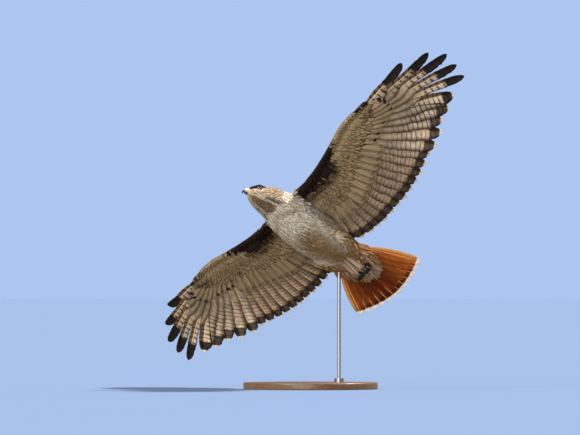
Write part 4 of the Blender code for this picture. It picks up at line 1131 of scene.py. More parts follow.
def shaders():
    """All the bird's materials, made once."""
    if not SHADERS:
        chosen = bpy.context.scene.hawk_colours
        colours = SimpleNamespace(**{name: tuple(getattr(chosen, name)) for name in chosen.__annotations__})
        groups = {"barbs": barb_group(), "bars": bar_group()}
        SHADERS["flight"] = flight_material(groups, colours)
        SHADERS["covert"] = covert_material(groups, colours)
        SHADERS["tail"] = tail_material(groups, colours)
        SHADERS["plumage"] = plumage_material(colours)
        SHADERS["bill"] = bill_material()
        SHADERS["eye"] = eye_material()
        for name, given in (
                # The lids' near black is partly painted shadow of the brow round the eye
                ("lid", ("eyelid_skin", (0.014, 0.010, 0.008), (0.006, 0.005, 0.004), 0.60, 900.0, 0.2)),
                ("gape", ("gape_skin", (0.66, 0.56, 0.30), (0.38, 0.30, 0.14), 0.45, 900.0, 0.2)),
                # Near-black toes: painted shade over toes that are really yellow and lie in shadow under the
                # body
                ("foot", ("foot_scales", (0.022, 0.014, 0.008), (0.012, 0.008, 0.005), 0.62, 420.0, 0.6))):
            SHADERS[name] = skin_material(*given)
        SHADERS["claw"] = claw_material()
        SHADERS["wood"] = wood_material()
        SHADERS["steel"] = steel_material()
    return SHADERS


def size_property(name, description, value, low, high):
    """A length that a user may change."""
    return bpy.props.FloatProperty(name=name, description=description, default=value, min=low, max=high,
                                   unit='LENGTH')


class HawkSizes(bpy.types.PropertyGroup):
    """Sizes of the plumage."""
    coat_spacing: size_property("Coat spacing", "Distance between rows of body feathers",
                                0.0050, 0.003, 0.02)
    head_spacing: size_property("Head spacing", "Distance between rows of head feathers",
                                0.0026, 0.001, 0.01)
    skin_voxel: size_property("Skin detail", "Size of the skin's faces", 0.0021, 0.001, 0.01)


def colour_property(name, description, value):
    """A colour that a user may change."""
    return bpy.props.FloatVectorProperty(name=name, description=description, subtype='COLOR', size=3,
                                         min=0.0, max=1.0, default=value)


class HawkColours(bpy.types.PropertyGroup):
    """Colours of the plumage and the stage."""
    cream: colour_property("Cream", "Pale ground of breast and belly", (0.92, 0.85, 0.73))
    tan: colour_property("Tan", "Under side of the wing coverts", (0.44, 0.315, 0.160))
    rufous: colour_property("Rufous", "Warm sides of the head and flanks", (0.62, 0.300, 0.105))
    brown: colour_property("Brown", "Back, crown and upper wing", (0.115, 0.070, 0.040))
    streak: colour_property("Streak", "Dark shaft streaks and spots", (0.018, 0.009, 0.005))
    web: colour_property("Inner web", "Underside of the flight feathers", (0.93, 0.79, 0.65))
    web_deep: colour_property("Secondaries", "Underside of the inner flight feathers", (0.46, 0.335, 0.245))
    # The outer web colour also paints the shade under each flight feather's overlapped inner edge
    web_outer_and_overlap_shade: colour_property("Outer web", "Outer web of the flight feathers below", (0.190, 0.125, 0.080))
    bar: colour_property("Bar", "Bars of the flight feathers", (0.045, 0.027, 0.018))
    band: colour_property("Band", "Black of the finger tips", (0.012, 0.009, 0.008))
    band_brown: colour_property("Hind border", "Brown of the hind border", (0.032, 0.019, 0.014))
    # Tail below and tail shade are mixed per feather as painted light through the fan
    tail_under: colour_property("Tail below", "Bright rufous of the tail from below", (0.68, 0.205, 0.036))
    tail_deep: colour_property("Tail shade", "Deep rufous of the tail from below", (0.180, 0.026, 0.006))
    tail_over: colour_property("Tail above", "Rufous of the tail from above", (0.50, 0.165, 0.050))
    tail_base: colour_property("Tail base", "Tail feathers near their roots", (0.66, 0.34, 0.13))
    floor: colour_property("Floor", "Pale floor of the stage", (0.159, 0.234, 0.395))
    air: colour_property("Air", "Pale air behind the bird", (0.420, 0.567, 0.870))


def finished(piece, slot, *nodes):
    """Ride on the root body and hide the CAD nodes the piece stands for; slot is not used."""
    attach(piece, "root")
    if nodes:
        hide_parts(*nodes)
    return piece


class HAWK_OT_skin(bpy.types.Operator):
    """Build the one closed skin that the plumage grows from"""
    bl_idname = "hawk.skin"
    bl_label = "Skin"

    def execute(self, context):
        skin = put_mesh("skin", *joined(flesh_parts()), shaders()["plumage"])
        remesh = skin.modifiers.new("one_surface", 'REMESH')
        remesh.mode = 'VOXEL'
        remesh.voxel_size = context.scene.hawk_sizes.skin_voxel
        ease = skin.modifiers.new("ease", 'SMOOTH')
        ease.factor = 0.5
        ease.iterations = 6
        depsgraph = context.evaluated_depsgraph_get()
        mesh = bpy.data.meshes.new_from_object(skin.evaluated_get(depsgraph))
        skin.modifiers.clear()
        skin.data = mesh
        mesh.materials.clear()
        mesh.materials.append(shaders()["plumage"])
        mesh.shade_smooth()
        context.scene["hawk_skin"] = skin.name
        marks = joined_marks(*skin_points())
        count = len(marks)
        put_attributes(mesh, {
            "marks": marks[:, :3],
            "ground": np.column_stack([marks[:, 3:], np.zeros(count)]),
            "vane": np.tile((0.5, 0.6, 0.5), (count, 1)),
        })
        finished(skin, "plumage_pale", "head", "neck", "torso", "thigh_left", "thigh_right")
        return {'FINISHED'}


def skin_points():
    """The skin's points and the way each of them faces, in the bird's frame."""
    mesh = bpy.data.objects[bpy.context.scene["hawk_skin"]].data
    values = []
    for name, source in (("co", mesh.vertices), ("vector", mesh.vertex_normals)):
        flat = np.zeros(len(mesh.vertices) * 3, np.float32)
        source.foreach_get(name, flat)
        values.append(flat.reshape(-1, 3).astype(float))
    back = np.linalg.inv(TO_WORLD)
    return placed(values[0], back), values[1] @ back[:3, :3].T


def skin_tree():
    """A search tree over the skin, in the bird's frame."""
    mesh = bpy.data.objects[bpy.context.scene["hawk_skin"]].data
    place = skin_points()[0]
    corners = np.zeros(len(mesh.loops), np.int32)
    mesh.loops.foreach_get("vertex_index", corners)
    total = np.zeros(len(mesh.polygons), np.int32)
    mesh.polygons.foreach_get("loop_total", total)
    ends = np.cumsum(total)
    polygons = [tuple(corners[e - n:e]) for e, n in zip(ends, total)]
    return BVHTree.FromPolygons([tuple(p) for p in place], polygons)


def on_skin(tree, points, reach):
    """Nearest places and normals on the skin, and whether each is within reach."""
    found = [tree.find_nearest(Vector(p)) for p in points]
    place = np.array([tuple(hit[0]) for hit in found])
    normal = np.array([tuple(hit[1]) for hit in found])
    near = np.array([hit[3] for hit in found]) < reach
    return place, normal, near


def staggered(start, end, spacing, around, rng):
    """Rows of roots on a tube: place along it and angle round it, every other row turned by half a step.

    around gives the girth at a place, and spacing the distance between rows there.
    """
    along = []
    turn = []
    at = start
    row = 0
    direction = 1.0 if end > start else -1.0
    while (end - at) * direction > 0.0:
        step = spacing(at)
        count = max(6, int(round(around(at) / (step * 1.05))))
        angle = (np.arange(count) + 0.5 * (row % 2)) * 2.0 * math.pi / count
        angle = angle + rng.normal(0.0, 0.22 * FULL_TURN / count, count)
        along.append(np.full(count, at) + rng.normal(0.0, 0.18 * step, count))
        turn.append(angle)
        at += direction * step
        row += 1
    return np.concatenate(along), np.concatenate(turn)


def eye_frame(side):
    """An eyeball's middle and the way it looks, in the head's frame."""
    return (np.array([EYE_BACK, EYE_OUT * side, 0.0]),
            unit(np.array([LID_AXIS[0], LID_AXIS[1] * side, LID_AXIS[2]])))


class HAWK_OT_body_coat(bpy.types.Operator):
    """Lay the small feathers of head, neck, body, thighs and tail coverts"""
    bl_idname = "hawk.body_coat"
    bl_label = "Body Coat"

    def execute(self, context):
        sizes = context.scene.hawk_sizes
        tree = skin_tree()
        rng = np.random.default_rng(11)
        shader = shaders()["plumage"]

        def girth(x):
            return math.pi * (knots(x, BODY, 3) + 0.5 * (knots(x, BODY, 4) + knots(x, BODY, 5)))

        def spacing(x):
            return sizes.head_spacing + (sizes.coat_spacing - sizes.head_spacing) * smooth(-x, -0.085, 0.02)

        x, angle = staggered(-0.300, 0.100, spacing, girth, rng)
        root, normal, near = on_skin(tree, body_surface(x, angle, 0.002), 0.0035)
        near &= np.abs(root[:, 1]) < 0.072
        x, angle, root, normal = x[near], angle[near], root[near], normal[near]
        ahead = np.tile((-1.0, 0.0, 0.0), (len(root), 1))
        step = spacing(x)
        under_tail = smooth(-x, 0.20, 0.25)
        length = step * (4.6 + 1.2 * under_tail)
        width = step * (0.84 + 0.20 * under_tail)
        lift = 0.055 + 0.035 * rng.random(len(root)) - 0.02 * under_tail
        unwrap = inset((0.10 - x) / 0.41, angle % FULL_TURN / FULL_TURN)
        coat = small_feathers("coat_body", root, ahead, normal, length, width, lift, 0.03,
                              joined_marks(root, normal), unwrap, shader, 21)
        finished(coat, "plumage_pale")

        def skull_girth(x):
            return FULL_TURN * knots(x, SKULL, 1)

        def skull_spacing(x):
            return sizes.head_spacing * (1.0 - 0.35 * smooth(x, 0.0, 0.014))

        x, angle = staggered(-0.034, 0.0162, skull_spacing, skull_girth, rng)
        root, normal, near = on_skin(tree, skull_surface(x, angle, 0.001), 0.0022)
        local = placed(root, np.linalg.inv(TO_BIRD))
        for side, label in SIDES:
            eye, axis = eye_frame(side)
            offset = local - (eye + axis * LID_OUT)
            ahead = offset @ axis
            radial = np.linalg.norm(offset - axis * ahead[:, None], axis=1)
            near &= ~((radial < LID_RADIUS + 0.0008) & (ahead > -0.006))
        x, angle, root, normal = x[near], angle[near], root[near], normal[near]
        ahead = np.tile(-TO_BIRD[:3, 0], (len(root), 1))
        small = skull_spacing(x)
        lift = 0.05 + 0.03 * rng.random(len(root))
        unwrap = inset((0.017 - x) / 0.052, angle % FULL_TURN / FULL_TURN)
        coat = small_feathers("coat_head", root, ahead, normal, small * 3.6, small * 0.72, lift, 0.03,
                              plumage_marks(root), unwrap, shader, 22)
        finished(coat, "plumage_head")
        self.thighs(tree, rng, shader)
        self.under_tail(shader)
        self.shoulders(shader)
        return {'FINISHED'}

    def thighs(self, tree, rng, shader):
        """Long loose feathers scattered over both thighs, shorter toward the foot."""
        groups = []
        for side, label in SIDES:
            pick = rng.random((420, 2))
            centre = resampled(THIGH, 24)
            centre[:, 1] *= side
            at = np.clip(pick[:, 0] * 23, 0, 22.999)
            k = at.astype(int)
            f = (at - k)[:, None]
            turn = pick[:, 1] * FULL_TURN
            middle = centre[k, :3] * (1 - f) + centre[k + 1, :3] * f
            radius = (centre[k, 3] * (1 - f[:, 0]) + centre[k + 1, 3] * f[:, 0]) - 0.0028
            point = middle + radius[:, None] * np.stack([0 * turn, np.cos(turn), np.sin(turn)], 1)
            groups.append((point, pick, np.full(len(point), side)))
        point, pick, sign = (np.concatenate(part) for part in zip(*groups))
        root, normal, near = on_skin(tree, point, 0.003)
        near &= (normal[:, 2] < 0.5) & (normal[:, 0] > -0.70)
        root, normal, pick, sign = root[near], normal[near], pick[near], sign[near]
        ahead = np.stack([np.full(len(root), -1.0), -0.22 * sign, np.full(len(root), -0.10)], 1)
        marks = plumage_marks(root)
        marks[:, 2] *= 0.4
        marks[:, 0] *= 0.55
        marks[:, 3] = np.clip(marks[:, 3] + 0.45, 0.0, 1.0)
        unwrap = np.stack([0.01 + 0.98 * pick[:, 0], 0.01 + 0.48 * pick[:, 1] + 0.49 * (sign < 0)], 1)
        taper = 1.0 - 0.72 * smooth(pick[:, 0], 0.5, 1.0)
        coat = small_feathers("coat_thighs", root, ahead, normal, 0.024 * taper, 0.0046 * taper,
                              0.06 + 0.04 * rng.random(len(root)), 0.03, marks, unwrap, shader, 23)
        finished(coat, "plumage_pale")

    def shoulders(self, shader):
        """Small feathers where body and wings run together, one to each cell of a grid over the skin."""
        place, facing = skin_points()
        rng = np.random.default_rng(25)
        out = np.abs(place[:, 1])
        part = (out > 0.034) & (out < 0.125) & (place[:, 0] > -0.150) & (place[:, 0] < 0.045)
        place, facing = place[part], unit(facing[part])
        cell = np.floor(place / 0.0046 + rng.normal(0.0, 0.15, place.shape)).astype(int)
        first = np.unique(cell, axis=0, return_index=True)[1]
        place, facing = place[first], facing[first]
        out = np.abs(place[:, 1])
        outward = np.sign(place[:, 1]) * 0.10 * smooth(out, 0.040, 0.090)
        ahead = np.stack([np.full(len(out), -1.0), outward, 0.0 * out], 1)
        upper = facing[:, 2] > 0.0
        quarter = 0.5 * upper + 0.25 * (place[:, 1] > 0.0)
        unwrap = inset((0.05 - place[:, 0]) / 0.21, quarter + 0.24 * (out - 0.03) / 0.10)
        size = 0.0046 + 0.0 * out
        lift = 0.045 + 0.030 * rng.random(len(out))
        coat = small_feathers("coat_shoulders", place - 0.0008 * facing, ahead, facing, 3.8 * size,
                              0.86 * size, lift, 0.03, joined_marks(place, facing), unwrap, shader, 25)
        finished(coat, "plumage_pale")

    def under_tail(self, shader):
        """Long soft coverts that fan out from the vent under the root of the tail."""
        rng = np.random.default_rng(24)
        rows, columns = np.meshgrid(np.linspace(0.0, 1.0, 10), np.linspace(-1.0, 1.0, 33), indexing='ij')
        back = rows.ravel() + rng.normal(0.0, 0.03, rows.size)
        across = np.clip(columns.ravel() + rng.normal(0.0, 0.04, rows.size), -1.05, 1.05)
        x = -0.222 - 0.075 * back
        angle = -0.5 * math.pi + across * math.radians(78.0)
        root = body_surface(x, angle, 0.0035)
        length = (0.064 - 0.012 * back - 0.026 * np.abs(across)) * rng.uniform(0.75, 1.15, len(x))
        slope = (-0.0250 - 0.002 * rng.random(len(x)) - root[:, 2]) / length
        fan = across * math.radians(27.0) + TAIL_TURN + rng.normal(0.0, 0.05, len(x))
        ahead = np.stack([-np.cos(fan), np.sin(fan), slope], 1)
        normal = np.tile((0.0, 0.0, -1.0), (len(x), 1))
        side = smooth(np.abs(across - 0.05), 0.20, 0.75)
        marks = np.stack([0.40 + 0.50 * side + 0.10 * rng.random(len(x)), 0.0 * x, 0.0 * x,
                          0.06 + 0.30 * side, 0.0 * x], 1)
        unwrap = np.stack([0.02 + 0.96 * np.clip(back, 0, 1), 0.5 + 0.46 * across], 1)
        lift = 0.01 + 0.02 * rng.random(len(x))
        coat = small_feathers("coat_under_tail", root, ahead, normal, length, np.full(len(x), 0.0040), lift,
                              0.0, marks, np.clip(unwrap, 0.01, 0.99), shader, 24)
        finished(coat, "plumage_pale")


def remex_direction(out, table):
    """The way the flight feathers point above a distance out, as out and x."""
    way = unit(table["tip"] - table["root"])
    order = np.argsort(table["root"][:, 0])
    at = table["root"][order, 0]
    return unit(np.stack([np.interp(out, at, way[order, 0]), np.interp(out, at, way[order, 1])], -1))


def along_row(number, table):
    """Values at feather numbers, straight between the rows of a table."""
    return np.interp(number, *np.transpose(table))


class HAWK_OT_wings(bpy.types.Operator):
    """Lay the flight feathers, their coverts and the small feathers of both wings"""
    bl_idname = "hawk.wings"
    bl_label = "Wings"

    def execute(self, context):
        table = remiges()
        shader = shaders()["flight"]
        number = np.arange(len(table["root"]))
        white = np.where(table["finger"], 0.0, 1.0)
        kind = np.stack([along_row(number, BAR_SPACING), white, along_row(number, BLACKNESS),
                         along_row(number, DEEPNESS)], 1)
        for side, label in SIDES:
            rng = np.random.default_rng(31 if side > 0 else 32)
            marks = np.stack([rng.random(len(number)), along_row(number, TIP_BAND),
                              along_row(number, BARRING)], 1)
            vanes = flat_vanes("flight_" + label, table["root"], table["tip"], table["lift"], table["outer"],
                               table["inner"], np.where(table["finger"], FINGER_TILT, VANE_TILT), side,
                               table["finger"], marks, kind, shader, 41 if side > 0 else 42, table["power"])
            finished(vanes, "wing_feathers", "arm_" + label, "forearm_" + label, "hand_" + label)
            self.coverts(table, side, label, rng)
            self.small_coverts(table, side, label, rng)
        return {'FINISHED'}

    def coverts(self, table, side, label, rng):
        """The greater coverts above and below, and the alula."""
        def lay(name, root, end, lift, outer, inner, marks, seed, rise):
            whole = np.ones(len(root))
            vanes = flat_vanes(name + label, root, end, lift, outer * whole, inner * whole,
                               VANE_TILT * whole, side, whole < 0.0, marks, marks, shaders()["covert"], seed,
                               whole, rise=rise, rib=COVERT_RIB)
            finished(vanes, "wing_feathers")

        root = table["root"][1:-1]
        span = table["tip"][1:-1] - root
        length = np.linalg.norm(span, axis=1)
        hand = np.arange(1, len(root) + 1) < len(PRIMARY_LENGTH)
        outer = np.where(hand, 0.0075, 0.0095)
        inner = np.where(hand, 0.0135, 0.0160)
        for name, sign, longer, seed in (("coverts_over_", 1.0, 1.0, 51),
                                         ("coverts_under_", -1.0, 1.02, 52)):
            reach = np.where(hand, 0.010 + 0.23 * length, 0.088) * longer
            end = root + span / length[:, None] * reach[:, None]
            lift = table["lift"][1:-1] * (reach / length)**2 * np.where(hand, 0.0, 1.0)
            marks = np.stack([rng.random(len(root)), np.where(hand, 1.0, 0.42), np.zeros(len(root))], 1)
            lay(name, root, end, lift + 0.020 * reach * sign, outer, inner, marks, seed, 0.0027 * sign)
        k = np.arange(3)
        root = np.stack([0.300 - 0.004 * k, 0.008 + 0.0 * k], 1)
        end = np.stack([0.372 - 0.014 * k, 0.007 - 0.005 * k], 1)
        marks = np.stack([rng.random(3), np.full(3, 0.5), np.full(3, 0.8)], 1)
        lay("alula_", root, end, 0.030 * (end - root)[:, 0], 0.0034, 0.0105, marks, 53, 0.0056)

    def small_coverts(self, table, side, label, rng):
        """Rows of small feathers from the leading edge back, above and below."""
        tree = skin_tree()
        for name, sign, seed in (("coat_wing_over_", 1.0, 61), ("coat_wing_under_", -1.0, 62)):
            above = sign > 0.0
            rows = []
            for row, chord in enumerate(COVERT_ROWS):
                size = 0.0034 + 0.0052 * chord
                out = np.arange(0.050, 0.374 - 0.02 * chord, size * 0.80)
                out = out + rng.normal(0.0, size * 0.12, len(out)) + (row % 2) * size * 0.4
                spread = np.clip(chord + rng.normal(0.0, 0.010, len(out)), 0.0, 1.0)
                root = wing_core(out, spread, np.full(len(out), above), side, 0.0020)
                rows.append((root, spread, np.full(len(out), size), out))
            root, chord, size, out = (np.concatenate(part) for part in zip(*rows))
            way = remex_direction(out, table)
            ahead = np.stack([way[:, 1], way[:, 0] * side, DIHEDRAL * way[:, 0]], 1)
            ahead = unit(ahead + np.array([-1.0, 0.0, 0.0]) * (1.0 - smooth(chord, 0.0, 0.6))[:, None])
            normal = np.tile((0.0, -DIHEDRAL * side * sign, sign), (len(root), 1))
            normal[:, 0] = 0.8 * (1.0 - smooth(chord, 0.0, 0.12))
            normal = unit(normal)
            place, facing, near = on_skin(tree, root, 0.030)
            close = ((1.0 - smooth(out, 0.095, 0.120)) * near)[:, None]
            root = root * (1.0 - close) + (place - 0.0006 * facing) * close
            normal = unit(normal * (1.0 - close) + facing * close)
            keep = sign * normal[:, 2] > -0.2
            root, ahead, normal = root[keep], ahead[keep], normal[keep]
            chord, size, out = chord[keep], size[keep], out[keep]
            loose = np.clip(chord + rng.normal(0.0, 0.030, len(out)), 0.0, 1.0)
            marks = wing_marks(out, loose, np.full(len(out), above))
            fringe = bump(chord, knots(out, BAR_REACH), 0.06) * (out < 0.21)
            length = size * (3.3 + 1.5 * smooth(chord, 0.4, 0.9) + 1.8 * fringe)
            width = size * (0.80 - 0.30 * fringe)
            lift = 0.030 + 0.025 * rng.random(len(root))
            unwrap = np.clip(inset((out - 0.05) / 0.33, chord), 0.005, 0.995)
            coat = small_feathers(name + label, root, ahead, normal, length, width, lift, 0.012, marks,
                                  unwrap, shaders()["plumage"], seed)
            finished(coat, "wing_feathers")


class HAWK_OT_tail(bpy.types.Operator):
    """Spread the twelve tail feathers"""
    bl_idname = "hawk.tail"
    bl_label = "Tail"

    def execute(self, context):
        rng = np.random.default_rng(71)
        index = np.arange(RECTRICES)
        across = 2.0 * index / (RECTRICES - 1) - 1.0
        side = np.sign(across)
        angle = np.abs(across) * TAIL_HALF_FAN
        turn = TAIL_TURN * side
        root = np.stack([TAIL_ROOT_HALF * np.abs(across), np.full(RECTRICES, TAIL_ROOT[0])], 1)
        ahead = np.stack([np.sin(angle + turn), -np.cos(angle + turn)], 1)
        length = TAIL_LENGTH * (1.0 - 0.03 * np.abs(across))
        t = ROWS[None]
        place = TAIL_START + (1.0 - TAIL_START) * t
        outward = np.stack([-ahead[:, 1], ahead[:, 0]], 1)
        bulge = TAIL_BULGE * np.abs(across)[:, None] * length[:, None] * np.sin(math.pi * place)
        plan = (root[:, None] + ahead[:, None] * (length[:, None] * place)[..., None]
                + outward[:, None] * bulge[..., None])
        level = np.full(plan.shape[:2], TAIL_ROOT[1])
        middle = np.stack([plan[..., 1], plan[..., 0] * side[:, None], level], -1)
        middle[..., 2] += 0.0010 * (1.0 - np.abs(across))[:, None] + 0.0006 * (side > 0)[:, None]
        flat = np.stack([outward[:, 1], outward[:, 0] * side, 0.0 * side], -1)
        sideways, normal = shaft_sides(middle, flat, VANE_TILT)
        s = COLUMNS[None, None]
        shape = knots(t, BROAD) * (1.0 - smooth(-t, -0.05, 0.0) * 0.3)
        ragged = 1.0 + 0.03 * rng.standard_normal((RECTRICES, len(ROWS), 2)) * smooth(t, 0.2, 0.5)[..., None]
        outer = TAIL_OUTER_WEB * shape * ragged[..., 0]
        inner = TAIL_INNER_WEB * shape * ragged[..., 1]
        close = (np.abs(across) < 1.5 / (RECTRICES - 1))[:, None]
        midline = root[:, :1] + length[:, None] * place * np.sin(angle)[:, None]
        inner = np.where(close, np.minimum(inner, midline + 0.0022), inner)
        width = np.where(s > 0.0, s * outer[..., None], s * inner[..., None])
        shift = normal[:, :, None] * (-0.05 * np.abs(s)**1.5 * (outer + inner)[..., None] * 0.5)[..., None]
        # Painted light through the fan: brighter outward and toward one side, deeper in the middle where the
        # feathers stack
        tone = np.clip(0.04 + 0.50 * np.abs(across)**1.5 + 0.45 * smooth(across, 0.1, 0.8)
                       + 0.06 * rng.standard_normal(RECTRICES), 0.0, 1.0)
        dark = 0.60 + 0.40 * rng.random(RECTRICES) - 0.5 * smooth(np.abs(across), 0.75, 1.0)
        marks = np.stack([rng.random(RECTRICES), tone, dark], 1)
        kind = np.column_stack([marks, np.abs(across) > 0.95])
        tail = vane_solids("tail_feathers", middle, sideways, normal, width,
                           vane_thickness(width, 0.00012, SHAFT_RIB), shift,
                           length[:, None] * (1.0 - place), marks, kind, shaders()["tail"])
        finished(tail, "tail_red", "tail")
        return {'FINISHED'}


def bill_rings(table, squareness, rows, sides):
    """Rings between a top line and a lower line of the bill, squarer in section where it is below 1."""
    path = resampled(table, rows)
    angle = circle(sides)[None]
    up = np.cos(angle)
    across = np.sign(np.sin(angle)) * np.abs(np.sin(angle))**squareness
    top_x, top_z, low_x, low_z, half = (path[:, k:k + 1] for k in range(5))
    x = 0.5 * (top_x + low_x) + 0.5 * (top_x - low_x) * up
    z = 0.5 * (top_z + low_z) + 0.5 * (top_z - low_z) * up
    return np.stack([x, half * across * (1.0 - 0.18 * up), z], -1)


def along_tube(values, sides):
    """A value for each ring of a closed tube, spread over its points and its two ends."""
    return np.concatenate([np.repeat(values, sides), values[[0, -1]]])


class HAWK_OT_face(bpy.types.Operator):
    """Build bill, cere, nostrils, mouth line, eyes and lids"""
    bl_idname = "hawk.face"
    bl_label = "Face"

    def execute(self, context):
        rings = bill_rings(UPPER_BILL, 0.85, UPPER_RINGS, UPPER_SIDES)
        x, y, z = rings[..., 0], rings[..., 1], rings[..., 2]
        for side, label in SIDES:
            pit = np.exp(-(((x - NOSTRIL[0]) / 0.0016)**2 + ((z - NOSTRIL[2]) / 0.0011)**2))
            rings[..., 1] -= side * 0.0012 * (pit * (y * side > 0.0))
        rings[..., 1] *= 1.0 + 0.05 * (1.0 - smooth(x, 0.0215, 0.0235))
        rings[..., 2] += 0.0005 * (1.0 - smooth(x, 0.0215, 0.0235)) * smooth(z, -0.002, 0.002)
        points, faces = tube_mesh(rings)
        rows = along_tube(np.linspace(0.0, 1.0, UPPER_RINGS), UPPER_SIDES)
        across = np.minimum(np.abs(points[:, 1] - NOSTRIL[1]), np.abs(points[:, 1] + NOSTRIL[1]))
        # Mask of painted shade inside each nostril opening
        nostril_shade_mask = bump(points[:, 0], NOSTRIL[0], 0.0015) * bump(points[:, 2], NOSTRIL[2], 0.0011)
        nostril_shade_mask = nostril_shade_mask * bump(across, 0.0, 0.004)
        vane = np.stack([rows, points[:, 2], smooth(nostril_shade_mask, 0.25, 0.6)], 1)
        self.piece("bill_upper_horn", points, faces, "bill", {"vane": vane}, "bill_horn", "bill_upper")
        points, faces = tube_mesh(bill_rings(LOWER_BILL, 0.75, LOWER_RINGS, LOWER_SIDES))
        rows = along_tube(np.linspace(0.40, 0.95, LOWER_RINGS), LOWER_SIDES)
        vane = np.stack([rows, points[:, 2], 0.0 * rows], 1)
        self.piece("bill_lower_horn", points, faces, "bill", {"vane": vane}, "bill_horn", "bill_lower")
        for side, label in SIDES:
            self.eye(side, label)
            self.mouth(side, label)
        return {'FINISHED'}

    def piece(self, name, points, faces, look, attributes, slot, *nodes):
        """A piece of the head from points in the head's frame."""
        made = put_mesh(name, placed(points, TO_BIRD), faces, shaders()[look], attributes)
        finished(made, slot, *nodes)

    def eye(self, side, label):
        """Eyeball with its poles on the eye's axis, and the rim of lids round it."""
        middle, axis = eye_frame(side)
        first = unit(np.cross(axis, (0.0, 0.0, 1.0)))
        second = np.cross(axis, first)
        polar = np.linspace(0.02, math.pi - 0.02, EYE_RINGS)[:, None]
        turn = circle(EYE_SIDES)[None]
        cornea = 1.0 + 0.05 * np.exp(-(polar / 0.5)**2)
        direction = (axis * np.cos(polar)[..., None] + np.sin(polar)[..., None]
                     * (first * np.cos(turn)[..., None] + second * np.sin(turn)[..., None]))
        rings = middle + EYE_RADIUS * cornea[..., None] * direction
        points, faces = tube_mesh(rings)
        out = np.concatenate([np.repeat(polar[:, 0], EYE_SIDES), [0.0, math.pi]])
        around = np.concatenate([np.tile(turn[0], EYE_RINGS), [0.0, 0.0]])
        vane = np.stack([out, np.abs(around - math.pi), 0.0 * out], 1)
        self.piece("eyeball_" + label, points, faces, "eye", {"vane": vane}, "eye_brown", "eye_" + label)
        centre = middle + axis * LID_OUT
        turn = circle(LID_RINGS)[:, None]
        tube = circle(LID_SIDES)[None]
        oval = 1.0 - 0.10 * np.cos(2.0 * turn)
        radius = LID_RADIUS * oval + 0.0010 * np.cos(tube)
        spoke = first * np.cos(turn)[..., None] + second * np.sin(turn)[..., None]
        rings = centre + spoke * radius[..., None] + axis * (0.0009 * np.sin(tube) - 0.0002)[..., None]
        points = rings.reshape(-1, 3)
        quads = grid_faces(LID_RINGS + 1, LID_SIDES, wrap=True) % len(points)
        a, b, c = points[quads[0, 0]], points[quads[0, 1]], points[quads[0, 2]]
        if np.dot(np.cross(b - a, c - a), a - rings[0].mean(0)) < 0.0:
            quads = quads[:, ::-1]
        self.piece("eyelid_" + label, points, [quads], "lid", None, "plumage_head")

    def mouth(self, side, label):
        """The soft yellow corner of the mouth along the line between the bills."""
        x = np.linspace(0.0185, 0.0005, 24)
        half = np.interp(x, (0.0, 0.0080, 0.0140, 0.0165, 0.0200), (0.0196, 0.0157, 0.0110, 0.0086, 0.0074))
        for shift, part in ((0.0009, "upper"), (-0.0009, "lower")):
            radius = 0.0009 * (1.0 - smooth(-x, -0.006, 0.0))
            level = MOUTH_Z + shift - 0.0012 * smooth(-x, -0.012, 0.0)
            path = np.stack([x, side * (half - 0.0010), level, radius + 0.0001], 1)
            points, faces = tube_mesh(swept(path, 10))
            self.piece("gape_" + part + "_" + label, points, faces, "gape", None, "bill_horn")


def arc(centre, lateral, start, end, thick, thin, count):
    """Points and radii round a curl in the upright plane, thinning along it."""
    t = np.linspace(0.0, 1.0, count)
    turn = np.radians(start + (end - start) * t)
    return np.stack([centre[0] + TOE_CURL * np.cos(turn), np.full(count, lateral),
                     centre[2] + TOE_CURL * np.sin(turn), thick + (thin - thick) * t], 1)


def toe(path, pads):
    """Rings of a toe, swollen at its pads."""
    path[:, 3] *= 1.22 + 0.10 * np.cos(np.linspace(0.0, pads * math.pi, len(path)))
    return swept(path, TOE_SIDES)


